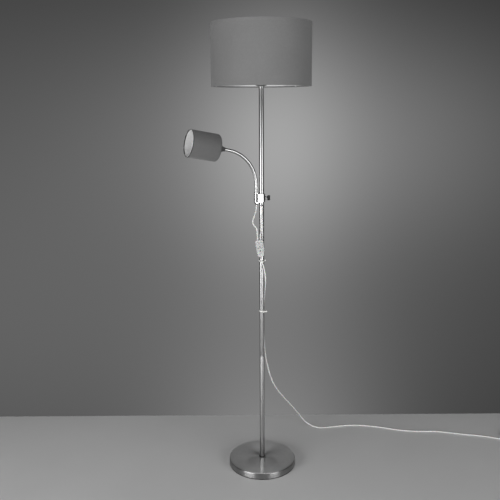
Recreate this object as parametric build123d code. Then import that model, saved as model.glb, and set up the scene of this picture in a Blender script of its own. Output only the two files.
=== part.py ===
"""Floor lamp with a drum shade on a pole and a small reading light on a gooseneck arm.

Millimetres, +Z up. The origin is the middle of the base pad's underside, on the pole's axis. The arm points
along -X and the clamp's knob along +X. The switch side, from which the lamp is used, is called the front: its
right is +X and its back is +Y turned by FRONT_YAW about Z.
"""

from build123d import *
from math import acos, atan2, cos, degrees, hypot, pi, radians, sin, sqrt, tan
import os

# ---------------------------------------------------------------- driving dimensions
# Base
BASE_R = 128.0  # outside of the spun cover
BASE_H = 27.0  # floor to the cover's top
COVER_WALL = 1.2
COVER_BEVEL = 4.5
COVER_RIM_Z = 3.6  # the cover's rim stays above the pad
PAD_R = BASE_R - 2.5
PAD_T = 3.0
WEIGHT_R = BASE_R - COVER_WALL - 1.8
WEIGHT_T = 12.0
WEIGHT_HUB_R = 30.0
WEIGHT_POCKET_R = 16.0
WEIGHT_POCKET_T = 9.0

# Pole
POLE_R = 9.0
POLE_WALL = 1.0
POLE_TOP = 1436.0
LOWER_SEAM_Z = 446.0
UPPER_SEAM_Z = 878.0
COUPLER_L = 60.0
COUPLER_BORE_R = 5.5
PLUG_L = 16.0  # the insert at either end of the pole
FOOT_RING_R = 11.5
FOOT_RING_H = 4.0

# Threaded lamp pipe and what goes on it
PIPE_R = 5.0
PIPE_BORE_R = 3.5
NUT_AF = 14.0
NUT_T = 4.0
WASHER_R = 12.0
WASHER_T = 1.5
THREAD_FIT = 0.05  # radial room between a thread's crest and its hole

# Main light
HOLDER_NECK_R = 12.0
HOLDER_FLANGE_R = 20.5
HOLDER_THREAD_R = 19.0
HOLDER_BORE_R = 13.6
WIRE_HOLE_R = 3.0
HOLDER_NECK_H = 8.0
HOLDER_BODY_H = 38.0
HOLDER_THREAD_H = 20.0
HOLDER_FLOOR = 26.0  # from the neck's underside to the bore's floor
HUB_R = 23.0
HUB_T = 1.6
RING_NUT_R = 23.5
RING_NUT_T = 7.0
MAIN_BULB_R = 30.0
MAIN_BULB_L = 110.0

# Drum shade
SHADE_R = 175.0
SHADE_H = 211.0
SHADE_WALL = 1.0
SHADE_BOTTOM_Z = 1442.0
WIRE_T = 3.0  # square section of the rings and arms
WIRE_SIDES = 48  # flats round a ring
ARM_COUNT = 3
ARM_CRANK_RUN = 20.0  # from the crank in an arm to the ring
ARM_CRANK_DROP = 11.0
FIRST_ARM_DEG = 17.0
SHADE_SEAT = 0.1  # gap between the rings and the shade's inside

# Clamp on the pole
CLAMP_Z = 1037.0  # underside of the block
CLAMP_H = 29.0
CLAMP_POLE_R = 13.0  # round end about the pole
CLAMP_ARM_R = 9.0  # round end about the arm
ARM_OFFSET = 20.5  # pole axis to arm axis
HULL_STEPS = 14  # flats round either end
LINER_R = 10.2
LINER_SHOWS = 1.5  # its length above and below the block
RUNNING = 0.05  # radial room of a shaft that turns or slides
KNOB_BOSS_R = 6.5
KNOB_BOSS_X = 16.0
SCREW_R = 2.5
THRUST_R = 3.6
THRUST_T = 2.2
KNOB_HUB_R = 5.0
KNOB_GAP = 2.0  # between the boss and the tightened knob
KNOB_HUB_L = 4.5
KNOB_T = 9.0
KNOB_REACH = 9.5  # from the screw's axis to the end of a lobe
KNOB_LOBE_R = 3.0
KNOB_LOBES = 3

# Gooseneck arm
ARM_R = 6.0
ARM_BORE_R = 2.6
ARM_SIDES = 16
ARM_BORE_SIDES = 6
ROOT_L = 20.0  # from the clamp's top to the first joint
ARM_STRAIGHT_TOP = 1096.0  # where the arm starts to bend
ARM_BEND_R = 133.0
ARM_TURN_DEG = 79.3
ARM_END_RUN = 12.0  # straight length after the bend, as far as the cone
ARM_JOINT_GAP = 0.3
ARM_RUN = 14.0  # straight stretches that make up the bend
FERRULE_R = 8.2
FERRULE_H = 7.0
ARM_NUT_T = 4.0
ARM_NUT_AF = 15.0
GLAND_R = 4.4
GLAND_T = 5.0

# Reading light
HEAD_R = 48.0
HEAD_L = 107.0
HEAD_WALL = 1.2
HEAD_BACK_ROUND = 9.0
HEAD_SIDES = 40  # flats round the small drum
CONE_L = 28.0
CONE_SMALL_R = 7.2
CONE_LARGE_R = 36.0
CONE_WALL = 3.2  # measured along the radius
CONE_BOSS_R = 7.0  # takes the lampholder's stud
CONE_END_T = 6.0  # solid end that holds the hose
SMALL_HOLDER_R = 13.0
SMALL_HOLDER_L = 42.0
SMALL_HOLDER_BORE_R = 9.0
SMALL_HOLDER_FLOOR = 8.0
READING_BULB_R = 22.5
READING_BULB_L = 84.0

# Leads
LEAD_D = 4.6  # clear two-core lamp lead
MAINS_D = 5.2
LEAD_SIDES = 6
COIL_SIDES = 5
GROMMET_R = 5.0
GROMMET_Z = 1024.0

# Switch in the lead, drawn upright with its front towards -Y
FRONT_YAW = -24.0
SWITCH_TILT = 6.6
SWITCH_U = -6.5  # its centre, to the right of the pole
SWITCH_OUT = 21.5  # its centre, in front of the pole's axis
SWITCH_Z = 869.8
SWITCH_W = 28.0
SWITCH_H = 62.0
SWITCH_D = 20.0
SWITCH_FOOT_W = 20.0  # width of the tapered lower end
SWITCH_TAPER_H = 29.0
SWITCH_WALL = 1.8
SWITCH_CORNER = 4.0
ROCKER_W = 9.0
ROCKER_L = 19.0
ROCKER_PITCH = 11.2
ROCKER_UP = 12.5  # rocker centre above the switch's centre
ROCKER_ROOM = 0.35
ROCKER_END_T = 4.4  # front of the rocker's ends before its pivot
ROCKER_MIDDLE_T = 3.2
ROCKER_BACK_T = 2.2
ROCKER_TILT = 7.0  # at rest, pressed at its upper half
PIVOT_R = 1.2
RIB_T = 1.2
RIB_REACH = 3.0
ENTRY_PITCH = 10.4
BLADE_UP = 5.6  # from a rocker's middle to either blade
CLIP_IN = 5.5  # from the housing's end to the middle of a lead clip
UPPER_CLIP_HALF = 11.8
LOWER_CLIP_HALF = 7.0
CLIP_T = 1.6
BOSS_R = 3.0
BOSS_Z = -8.0
SCREW_SHANK_R = 1.25
SCREW_HEAD_R = 2.6
SCREW_HEAD_T = 1.6

# Plug
PLUG_W = 35.0
PLUG_BACK_W = 15.0
PLUG_T = 14.0
PLUG_LEN = 36.0
PLUG_CHAMFER = 1.6
PIN_R = 2.0
PIN_L = 19.0
PIN_PITCH = 18.6
RELIEF_L = 26.0
RELIEF_SMALL_R = 3.5
RELIEF_LARGE_R = 5.4


# ---------------------------------------------------------------- helpers
def revolved(*outline):
    """Solid of revolution about Z from (radius, height) corners."""
    corners = [(r, 0, z) for r, z in outline]
    return revolve(make_face(Polyline(*corners, close=True)), Axis.Z)


def rod(radius, z0, z1):
    """Round bar along Z from z0 to z1."""
    return Pos(0, 0, z0) * Cylinder(radius, z1 - z0, align=(Align.CENTER, Align.CENTER, Align.MIN))


def tube(outer_r, inner_r, z0, z1):
    """Round tube along Z from z0 to z1."""
    return revolved((inner_r, z0), (outer_r, z0), (outer_r, z1), (inner_r, z1))


def turned(*outline, sides=24):
    """Many-sided solid about Z from closed (radius, height) corners, for small and hidden pieces."""

    def ring(radius, z):
        turns = [2 * pi * index / sides for index in range(sides)]
        return [Vector(radius * cos(a), radius * sin(a), z) for a in turns]

    faces = []
    for (r0, z0), (r1, z1) in zip(outline, outline[1:] + outline[:1]):
        near, far = ring(r0, z0), ring(r1, z1)
        if z0 == z1:
            wires = [Wire.make_polygon(ring(r, z0)) for r in sorted((r0, r1)) if r > 0]
            faces.append(Face(wires[-1], wires[:-1]))
        elif r0 > 0:
            for k in range(sides):
                faces.append(Face(Wire.make_polygon([near[k - 1], near[k], far[k], far[k - 1]])))
    return Solid(Shell(faces))


def bore_out(radius, z0, z1, sides=24):
    """Many-sided hole along Z whose flats clear a shaft of the given radius."""
    corner = radius / cos(pi / sides)
    return turned((0, z0), (corner, z0), (corner, z1), (0, z1), sides=sides)


def small_tube(outer_r, inner_r, z0, z1, sides=24):
    """Many-sided tube along Z for small and hidden pieces."""
    corner = inner_r / cos(pi / sides)
    return turned((corner, z0), (outer_r, z0), (outer_r, z1), (corner, z1), sides=sides)


def hexagon_nut(across_flats, bore_r, z0, z1):
    """Hexagonal nut with a plain bore."""
    blank = extrude(RegularPolygon(across_flats / 2, 6, major_radius=False), z1 - z0)
    return Pos(0, 0, z0) * blank - bore_out(bore_r, z0 - 1, z1 + 1, 12)


def block(x0, x1, y0, y1, z0, z1):
    """Box between two corners."""
    size = Box(x1 - x0, y1 - y0, z1 - z0)
    return Pos((x0 + x1) / 2, (y0 + y1) / 2, (z0 + z1) / 2) * size


def save(name, *pieces):
    """Write one node, of one solid or of several alike."""
    solids = [solid for piece in pieces for solid in piece.solids()]
    whole = solids[0] if len(solids) == 1 else Compound(children=solids)
    export_step(whole, f"parts/{name}.step")


FRONT = Rot(0, 0, FRONT_YAW)


def seen_from_front(points):
    """Points given as right, back and up of the pole, turned into the lamp's own frame."""
    return [FRONT * Pos(*p) for p in points]


def positions(places):
    """Vectors of a list of locations."""
    return [Vector(*place.position) for place in places]


def corner_radii(points):
    """Radius of each corner's arc: as large as its two runs allow."""
    radii = []
    for a, b, c in zip(points, points[1:], points[2:]):
        turn = (b - a).get_angle(c - b)
        shorter = min((b - a).length, (c - b).length)
        radii.append(0.45 * shorter / tan(radians(turn) / 2))
    return radii


def section(diameter, sides):
    """Many-sided section of a lead, with a flat side down."""
    return RegularPolygon(diameter / 2, sides, rotation=180 / sides)


def lead(name, points, diameter):
    """Lead along a route of straight runs and tangent arcs."""
    radii = corner_radii(points)
    path = FilletPolyline(*points, radius=radii)
    start = Plane(origin=points[0], z_dir=points[1] - points[0])
    solid = sweep(start * section(diameter, LEAD_SIDES), path)
    area = section(diameter, LEAD_SIDES).area
    print(name, "length", round(path.length, 1), "radii", [round(r) for r in radii])
    print(name, "volume over section times length", round(solid.volume / (area * path.length), 3))
    return solid


# ---------------------------------------------------------------- base
WEIGHT_TOP = PAD_T + WEIGHT_T
COVER_UNDER = BASE_H - COVER_WALL
FOOT_WASHER_Z = PAD_T + WEIGHT_POCKET_T - WASHER_T
FOOT_PIPE_Z = FOOT_WASHER_Z - NUT_T - 1.0


def base_cover():
    """Spun sheet cover: bevelled edge, flat top, hole for the pipe."""
    inner = BASE_R - COVER_WALL
    return revolved(
        (BASE_R, COVER_RIM_Z),
        (BASE_R, BASE_H - COVER_BEVEL),
        (BASE_R - COVER_BEVEL, BASE_H),
        (PIPE_R + THREAD_FIT, BASE_H),
        (PIPE_R + THREAD_FIT, COVER_UNDER),
        (inner - COVER_BEVEL, COVER_UNDER),
        (inner, COVER_UNDER - COVER_BEVEL),
        (inner, COVER_RIM_Z),
    )


def base_weight():
    """Cast disc with a hub up to the cover and a pocket for the foot's nut."""
    hole = PIPE_R + THREAD_FIT
    return turned(
        (WEIGHT_POCKET_R, PAD_T),
        (WEIGHT_R, PAD_T),
        (WEIGHT_R, WEIGHT_TOP),
        (WEIGHT_HUB_R, WEIGHT_TOP),
        (WEIGHT_HUB_R, COVER_UNDER),
        (hole, COVER_UNDER),
        (hole, PAD_T + WEIGHT_POCKET_T),
        (WEIGHT_POCKET_R, PAD_T + WEIGHT_POCKET_T),
        sides=28,
    )


# ---------------------------------------------------------------- pole
def pole_pieces():
    """Three flush tubes, their couplers and the two end plugs."""
    inner = POLE_R - POLE_WALL
    lower = tube(POLE_R, inner, BASE_H, LOWER_SEAM_Z)
    middle = tube(POLE_R, inner, LOWER_SEAM_Z, UPPER_SEAM_Z)
    upper = tube(POLE_R, inner, UPPER_SEAM_Z, POLE_TOP)
    upper -= toward_front(rod(GROMMET_R - 1.0, 0, POLE_R + 1), GROMMET_Z)
    save("pole_lower", lower)
    save("pole_middle", middle)
    save("pole_upper", upper)
    seams = (LOWER_SEAM_Z, UPPER_SEAM_Z)
    half = COUPLER_L / 2
    save("pole_couplers", *[small_tube(inner, COUPLER_BORE_R, z - half, z + half, 12) for z in seams])
    plug_starts = (BASE_H, POLE_TOP - PLUG_L)
    bore = PIPE_R + THREAD_FIT
    save("pole_end_plugs", *[small_tube(inner, bore, z, z + PLUG_L, 12) for z in plug_starts])
    save("foot_ring", small_tube(FOOT_RING_R, POLE_R + THREAD_FIT, BASE_H, BASE_H + FOOT_RING_H, 32))


def pipe_pieces():
    """Threaded pipes, nuts and washers, one set at the foot and one at the pole's top."""
    foot = small_tube(PIPE_R, PIPE_BORE_R, FOOT_PIPE_Z, BASE_H + PLUG_L - 1.0, 12)
    top_nut_z = POLE_TOP + HOLDER_NECK_H
    pipe_top = top_nut_z + WASHER_T + NUT_T + 1.0
    top = small_tube(PIPE_R, PIPE_BORE_R, POLE_TOP - PLUG_L + 1.0, pipe_top, 12)
    save("lamp_pipes", foot, top)
    bore = PIPE_R + THREAD_FIT
    foot_nut = hexagon_nut(NUT_AF, bore, FOOT_WASHER_Z - NUT_T, FOOT_WASHER_Z)
    top_nut = hexagon_nut(NUT_AF, bore, top_nut_z + WASHER_T, top_nut_z + WASHER_T + NUT_T)
    save("pipe_nuts", foot_nut, top_nut)
    foot_washer = small_tube(WASHER_R, bore, FOOT_WASHER_Z, FOOT_WASHER_Z + WASHER_T, 12)
    top_washer = small_tube(WASHER_R, bore, top_nut_z, top_nut_z + WASHER_T, 12)
    save("pipe_washers", foot_washer, top_washer)


def toward_front(shape, z):
    """Turn a shape drawn along Z so that it points out of the pole's front at height z."""
    return FRONT * Pos(0, 0, z) * Rot(90, 0, 0) * shape


def pole_grommet():
    """Rubber bush in the hole of the pole's wall."""
    hole_r = GROMMET_R - 1.0 - THREAD_FIT
    bush = small_tube(hole_r, LEAD_D / 2, POLE_R - POLE_WALL - 1.0, POLE_R + 1.4, 12)
    return toward_front(bush, GROMMET_Z)


# ---------------------------------------------------------------- main light
HOLDER_Z = POLE_TOP
SHOULDER_Z = HOLDER_Z + HOLDER_NECK_H + HOLDER_BODY_H
HUB_Z = SHOULDER_Z
RING_NUT_Z = HUB_Z + HUB_T
HOLDER_TOP = SHOULDER_Z + HOLDER_THREAD_H


def lampholder():
    """Screw lampholder: neck on the pipe, nut's room, floor, socket bore and threaded skirt."""
    pipe_hole = PIPE_R + 2 * THREAD_FIT
    neck_top = HOLDER_Z + HOLDER_NECK_H
    room_top = neck_top + WASHER_T + NUT_T + 2.5
    floor = HOLDER_Z + HOLDER_FLOOR
    return turned(
        (pipe_hole, HOLDER_Z),
        (HOLDER_NECK_R, HOLDER_Z),
        (HOLDER_FLANGE_R, neck_top),
        (HOLDER_FLANGE_R, SHOULDER_Z),
        (HOLDER_THREAD_R, SHOULDER_Z),
        (HOLDER_THREAD_R, HOLDER_TOP),
        (HOLDER_BORE_R, HOLDER_TOP),
        (HOLDER_BORE_R, floor),
        (WIRE_HOLE_R, floor),
        (WIRE_HOLE_R, room_top),
        (WASHER_R + 0.4, room_top),
        (WASHER_R + 0.4, neck_top),
        (pipe_hole, neck_top),
        sides=20,
    )


def bulb(cap_r, z0, neck_z, radius, tip):
    """Bulb: cap in its socket, neck cone and a round end in bands."""
    bands = [radians(a) for a in (0, 30, 58)]
    dome = [(radius * cos(a), tip - radius + radius * sin(a)) for a in bands]
    flat = (radius * cos(radians(80)), tip)
    return turned((0, z0), (cap_r, z0), (cap_r, neck_z), *dome, flat, (0, tip), sides=20)


def main_bulb():
    """Screw bulb of the main light."""
    z0 = HOLDER_Z + HOLDER_FLOOR + 0.5
    return bulb(HOLDER_BORE_R - 0.6, z0, HOLDER_TOP + 2.0, MAIN_BULB_R, z0 + MAIN_BULB_L)


def shade_spider():
    """Bottom ring of the shade with its hub and three arms that fall from hub to ring and end in a crank."""
    ring_outer = SHADE_R - SHADE_WALL - SHADE_SEAT
    ring_z = SHADE_BOTTOM_Z + 0.5
    ring = small_tube(ring_outer, ring_outer - WIRE_T, ring_z, ring_z + WIRE_T, WIRE_SIDES)
    hub = turned((0, HUB_Z), (HUB_R, HUB_Z), (HUB_R, HUB_Z + HUB_T), (0, HUB_Z + HUB_T))
    inner, outer = HUB_R - 2.0, ring_outer - WIRE_T / 2
    knee, knee_z = outer - ARM_CRANK_RUN, ring_z + ARM_CRANK_DROP
    arms = []
    for index in range(ARM_COUNT):
        side = make_face(
            Polyline(
                (inner, 0, HUB_Z),
                (inner, 0, HUB_Z + HUB_T),
                (knee, 0, knee_z + WIRE_T),
                (outer, 0, ring_z + WIRE_T),
                (outer, 0, ring_z),
                (knee, 0, knee_z),
                close=True,
            )
        )
        bar = extrude(side, WIRE_T / 2, dir=(0, 1, 0), both=True)
        arms.append(Rot(0, 0, FIRST_ARM_DEG + index * 360 / ARM_COUNT) * bar)
    whole = ring + hub + arms[0] + arms[1] + arms[2]
    return whole - bore_out(HOLDER_THREAD_R + 2 * THREAD_FIT, HUB_Z - 5, HUB_Z + 5)


def shade_pieces():
    """Drum, its top ring and its spider."""
    top = SHADE_BOTTOM_Z + SHADE_H
    save("shade_drum", tube(SHADE_R, SHADE_R - SHADE_WALL, SHADE_BOTTOM_Z, top))
    outer = SHADE_R - SHADE_WALL - SHADE_SEAT
    save("shade_top_ring", small_tube(outer, outer - WIRE_T, top - 0.5 - WIRE_T, top - 0.5, WIRE_SIDES))
    save("shade_spider", shade_spider())
    bore, nut_top = HOLDER_THREAD_R + 2 * THREAD_FIT, RING_NUT_Z + RING_NUT_T
    save("shade_ring_nut", small_tube(RING_NUT_R, bore, RING_NUT_Z, nut_top))


# ---------------------------------------------------------------- clamp
CLAMP_TOP = CLAMP_Z + CLAMP_H
KNOB_Z = CLAMP_Z + CLAMP_H / 2 - 1.5
THRUST_X = LINER_R + 0.1  # the pad's face against the liner
SCREW_START = THRUST_X + THRUST_T
KNOB_X = KNOB_BOSS_X + KNOB_GAP


def along_x(shape, x=0.0, z=0.0):
    """Turn a shape drawn along Z so that it points along +X from (x, 0, z)."""
    return Pos(x, 0, z) * Rot(0, 90, 0) * shape


def clamp_liner():
    """Bush between pole and block that shows a little above and below the block."""
    return tube(LINER_R, POLE_R + RUNNING, CLAMP_Z - LINER_SHOWS, CLAMP_TOP + LINER_SHOWS)


def hull_outline(r0, r1, offset):
    """Outline of two many-sided round ends with flats between them, r0 at the origin and r1 at -X offset."""
    lean = degrees(acos((r0 - r1) / offset))
    right = [radians(-180 + lean + index * (360 - 2 * lean) / HULL_STEPS) for index in range(HULL_STEPS + 1)]
    left = [radians(180 - lean + index * 2 * lean / HULL_STEPS) for index in range(HULL_STEPS + 1)]
    ends = [(r0 * cos(a), r0 * sin(a)) for a in right]
    ends += [(r1 * cos(a) - offset, r1 * sin(a)) for a in left]
    return make_face(Polyline(*ends, close=True))


def cast_block():
    """Cast block: two round ends, bores for liner and arm, and a boss for the knob's screw."""
    body = Pos(0, 0, CLAMP_Z) * extrude(hull_outline(CLAMP_POLE_R, CLAMP_ARM_R, ARM_OFFSET), CLAMP_H)
    boss = turned((0, 0), (KNOB_BOSS_R, 0), (KNOB_BOSS_R, KNOB_BOSS_X), (0, KNOB_BOSS_X), sides=20)
    body += along_x(boss, z=KNOB_Z)
    body -= rod(LINER_R + RUNNING, CLAMP_Z - 1, CLAMP_TOP + 1)
    body -= Pos(-ARM_OFFSET, 0, 0) * bore_out(ARM_R + THREAD_FIT, CLAMP_Z - 1, CLAMP_TOP + 1, ARM_SIDES)
    body -= along_x(rod(THRUST_R + RUNNING, 0, SCREW_START + 1.4), z=KNOB_Z)
    body -= along_x(rod(SCREW_R + RUNNING, 0, KNOB_BOSS_X + 1), z=KNOB_Z)
    return body


def knob_body():
    """Three-lobed knob: hub that flares into the lobes."""
    reach, half = KNOB_REACH, KNOB_LOBE_R
    corner = half / 3
    plan = RegularPolygon(KNOB_HUB_R, 12)
    for index in range(KNOB_LOBES):
        lobe = make_face(
            Polyline(
                (0, -half + corner), (reach - corner, -half), (reach, -half + corner),
                (reach, half - corner), (reach - corner, half), (0, half - corner), close=True,
            )
        )
        plan += Rot(0, 0, 90 + index * 360 / KNOB_LOBES) * lobe
    grip = Pos(0, 0, KNOB_HUB_L) * extrude(plan, KNOB_T)
    small, large = KNOB_HUB_R - 1.2, KNOB_HUB_R
    shank = turned((0, 0), (small, 0), (large, KNOB_HUB_L), (0, KNOB_HUB_L), sides=12)
    hole = bore_out(SCREW_R, -1, KNOB_HUB_L + KNOB_T - 2, 12)
    return along_x(grip + shank - hole, KNOB_X, KNOB_Z)


def clamp_pieces():
    """Block, liner, pad, screw and knob."""
    save("clamp_liner", clamp_liner())
    save("clamp_block", cast_block())
    save("thrust_pad", along_x(rod(THRUST_R, 0, THRUST_T), THRUST_X, KNOB_Z))
    screw_end = KNOB_X + KNOB_HUB_L + KNOB_T - 2
    save("knob_screw", along_x(rod(SCREW_R, SCREW_START, screw_end), z=KNOB_Z))
    save("clamp_knob", knob_body())


# ---------------------------------------------------------------- gooseneck
ARM_NUT_Z = CLAMP_Z - ARM_NUT_T
GLAND_Z = ARM_NUT_Z - GLAND_T
ARM_BEND_L = ARM_BEND_R * radians(ARM_TURN_DEG)
ARM_RISE = ARM_STRAIGHT_TOP - CLAMP_TOP
ARM_L = ARM_RISE + ARM_BEND_L + ARM_END_RUN
LINK_L = (ARM_L - ROOT_L) / 4
JOINT_PLACES = [ROOT_L + index * LINK_L for index in range(4)]


def arm_frame(length):
    """Plane across the arm at a length along it from the block's top; its normal runs along the arm."""
    if length <= ARM_RISE:
        return Plane((-ARM_OFFSET, 0, CLAMP_TOP + length), x_dir=(1, 0, 0), z_dir=(0, 0, 1))
    turn = min((length - ARM_RISE) / ARM_BEND_R, radians(ARM_TURN_DEG))
    beyond = max(0.0, length - ARM_RISE - ARM_BEND_L)
    x = -ARM_OFFSET - ARM_BEND_R * (1 - cos(turn)) - beyond * sin(turn)
    z = ARM_STRAIGHT_TOP + ARM_BEND_R * sin(turn) + beyond * cos(turn)
    return Plane((x, 0, z), x_dir=(cos(turn), 0, sin(turn)), z_dir=(-sin(turn), 0, cos(turn)))


def arm_route(start, end):
    """Corners of the hose's route, each tangent to the arm midway between its neighbours."""
    bend_end = ARM_RISE + ARM_BEND_L
    stops = [start] + [c for c in (ARM_RISE, bend_end) if start < c < end] + [end]
    route = [arm_frame(start).origin]
    for a, b in zip(stops, stops[1:]):
        if ARM_RISE <= (a + b) / 2 <= bend_end:
            count = max(1, round((b - a) / ARM_RUN))
            reach = ARM_BEND_R * tan((b - a) / ARM_BEND_R / count / 2)
            for index in range(count):
                frame = arm_frame(a + index * (b - a) / count)
                route.append(frame.origin + frame.z_dir * reach)
    route.append(arm_frame(end).origin)
    return route


def arm_section():
    """Ring section of the hose."""
    return RegularPolygon(ARM_R, ARM_SIDES) - RegularPolygon(ARM_BORE_R, ARM_BORE_SIDES)


def arm_length(start, end):
    """Hose from one length along the arm to another."""
    route = arm_route(start, end)
    ring = arm_frame(start) * arm_section()
    return sweep(ring, Polyline(*route), transition=Transition.RIGHT)


def knuckle(length, radius):
    """Many-sided roll across the arm at a joint."""
    place = arm_frame(length).origin
    roll = extrude(RegularPolygon(radius, ARM_SIDES), 2 * ARM_R, both=True)
    return Pos(place.X, place.Y, place.Z) * Rot(90, 0, 0) * roll


def arm_link(start, end, start_joint, end_joint):
    """One length of the gooseneck: hollowed end over the joint below, rounded end at the joint above."""
    link = arm_length(start, end)
    if start_joint:
        link -= knuckle(start, (ARM_R + ARM_JOINT_GAP) / cos(pi / ARM_SIDES))
    if end_joint:
        frame = arm_frame(end)
        tip = extrude(frame * arm_section(), ARM_R, dir=frame.z_dir)
        link += tip & knuckle(end, ARM_R)
    return link


def arm_pieces():
    """Ferrule, lock nut, gland and the five lengths of the gooseneck."""
    axis = Pos(-ARM_OFFSET, 0, 0)
    bore = ARM_R + THREAD_FIT
    save("arm_ferrule", axis * small_tube(FERRULE_R, bore, CLAMP_TOP, CLAMP_TOP + FERRULE_H))
    save("arm_lock_nut", axis * hexagon_nut(ARM_NUT_AF, bore, ARM_NUT_Z, CLAMP_Z))
    hole = LEAD_D / 2 / cos(pi / LEAD_SIDES)
    gland = turned((hole, GLAND_Z), (GLAND_R - 1, GLAND_Z), (GLAND_R, ARM_NUT_Z), (hole, ARM_NUT_Z), sides=12)
    save("cord_gland", axis * gland)
    stud = Pos(-ARM_OFFSET, 0, ARM_NUT_Z) * extrude(arm_section(), CLAMP_TOP - ARM_NUT_Z)
    a, b, c, d = JOINT_PLACES
    save("arm_root", stud + arm_link(0, a, False, True))
    save("arm_lower", arm_link(a, b, True, True))
    save("arm_middle", arm_link(b, c, True, True))
    save("arm_upper", arm_link(c, d, True, True))
    save("arm_end", arm_link(d, ARM_L, True, False))


# ---------------------------------------------------------------- reading light
HEAD_START = ARM_L + CONE_L


def head_place():
    """Location whose Z runs along the reading light, from the back of its shade."""
    return Location(arm_frame(HEAD_START))


def reading_shade():
    """Small drum with a closed back whose edge is bevelled where the cloth turns in."""
    r, inner = HEAD_R, HEAD_R - HEAD_WALL
    b = HEAD_BACK_ROUND
    hole = PIPE_R + 2 * THREAD_FIT
    return turned(
        (hole, 0),
        (r - b, 0),
        (r, b),
        (r, HEAD_L),
        (inner, HEAD_L),
        (inner, b + HEAD_WALL / 2),
        (r - b - HEAD_WALL / 2, HEAD_WALL),
        (hole, HEAD_WALL),
        sides=HEAD_SIDES,
    )


def reading_pieces():
    """Cone, shade, lampholder and bulb of the reading light."""
    place = head_place()
    cone = turned(
        (0, -CONE_L),
        (CONE_SMALL_R, -CONE_L),
        (CONE_LARGE_R, 0),
        (CONE_LARGE_R - CONE_WALL, 0),
        (CONE_BOSS_R + CONE_WALL, CONE_END_T - CONE_L),
        (CONE_BOSS_R, CONE_END_T - CONE_L),
        (CONE_BOSS_R, 0),
        (0, 0),
        sides=32,
    )
    save("head_cone", place * cone)
    save("reading_shade", place * reading_shade())
    floor = HEAD_WALL + SMALL_HOLDER_FLOOR
    holder = turned(
        (0, 0),
        (PIPE_R, 0),
        (PIPE_R, HEAD_WALL),
        (SMALL_HOLDER_R, HEAD_WALL),
        (SMALL_HOLDER_R, SMALL_HOLDER_L),
        (SMALL_HOLDER_BORE_R, SMALL_HOLDER_L),
        (SMALL_HOLDER_BORE_R, floor),
        (0, floor),
    )
    save("reading_lampholder", place * holder)
    start = floor + 0.5
    cap_r = SMALL_HOLDER_BORE_R - 0.5
    lamp = bulb(cap_r, start, SMALL_HOLDER_L + 1, READING_BULB_R, start + READING_BULB_L)
    save("reading_bulb", place * lamp)


# ---------------------------------------------------------------- switch in the lead
SWITCH = FRONT * Pos(SWITCH_U, -SWITCH_OUT, SWITCH_Z) * Rot(0, -SWITCH_TILT, 0)
SWITCH_FACE = -SWITCH_D / 2
PIVOT_Y = SWITCH_FACE + ROCKER_END_T - ROCKER_L / 2 * sin(radians(ROCKER_TILT))
ROCKER_SPOTS = {"rocker_reading": -ROCKER_PITCH / 2, "rocker_main": ROCKER_PITCH / 2}
ENTRIES = {
    "reading": (-ENTRY_PITCH / 2, 1, LEAD_D),
    "upper": (ENTRY_PITCH / 2, 1, LEAD_D),
    "mains": (0.0, -1, MAINS_D),
}


def switch_outline(inset=0.0):
    """Front view of the housing: straight upper part and a tapered lower end, corners cut."""
    w, h, foot = SWITCH_W / 2 - inset, SWITCH_H / 2 - inset, SWITCH_FOOT_W / 2 - inset
    knee = SWITCH_TAPER_H - SWITCH_H / 2
    outline = make_face(
        Polyline((-w, h), (w, h), (w, knee), (foot, -h), (-foot, -h), (-w, knee), close=True)
    )
    return chamfer(outline.vertices(), max(SWITCH_CORNER - inset, 1.0))


def switch_slab(y0, y1, inset=0.0):
    """The housing's outline carried from y0 back to y1."""
    return Pos(0, y1, 0) * Rot(90, 0, 0) * extrude(switch_outline(inset), y1 - y0)


def entry_holes():
    """Round holes where the three leads come in, on the plane between the shells."""
    holes = []
    for across, way, diameter in ENTRIES.values():
        hole = bore_out(diameter / 2, SWITCH_H / 2 - SWITCH_WALL - 2, SWITCH_H / 2 + 2, 8)
        holes.append(Pos(across, 0, 0) * Rot(0, 90 - 90 * way, 0) * hole)
    return holes


def pivot_ribs():
    """Three ribs that carry the rockers' pivot pin."""
    side = ROCKER_PITCH / 2 + ROCKER_W / 2 + 0.3
    floor = SWITCH_D / 2 - SWITCH_WALL
    front = SWITCH_FACE + SWITCH_WALL + 0.1
    low, high = ROCKER_UP - RIB_REACH, ROCKER_UP + RIB_REACH
    middle_half = ROCKER_PITCH / 2 - ROCKER_W / 2 - 0.3
    ribs = [
        block(-side - RIB_T, -side, front, floor, low, high),
        block(-middle_half, middle_half, front, floor, low, high),
        block(side, side + RIB_T, front, floor, low, high),
    ]
    pin_hole = Pos(0, PIVOT_Y, ROCKER_UP) * Rot(0, 90, 0) * bore_out(PIVOT_R, -SWITCH_W, SWITCH_W, 8)
    return [rib - pin_hole for rib in ribs]


def screw_way(shape):
    """Turn a shape drawn along Z into the housing's screw hole, from front to back."""
    return Pos(0, 0, BOSS_Z) * Rot(-90, 0, 0) * shape


def switch_base():
    """Back shell with the pivot ribs and the screw's boss."""
    shell = switch_slab(0, SWITCH_D / 2) - switch_slab(-1, SWITCH_D / 2 - SWITCH_WALL, SWITCH_WALL)
    for rib in pivot_ribs():
        shell += rib
    floor = SWITCH_D / 2 - SWITCH_WALL
    shell += block(-BOSS_R, BOSS_R, 0, floor, BOSS_Z - BOSS_R, BOSS_Z + BOSS_R)
    shell -= screw_way(bore_out(SCREW_SHANK_R, -1, floor, 12))
    for hole in entry_holes():
        shell -= hole
    return shell


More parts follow.
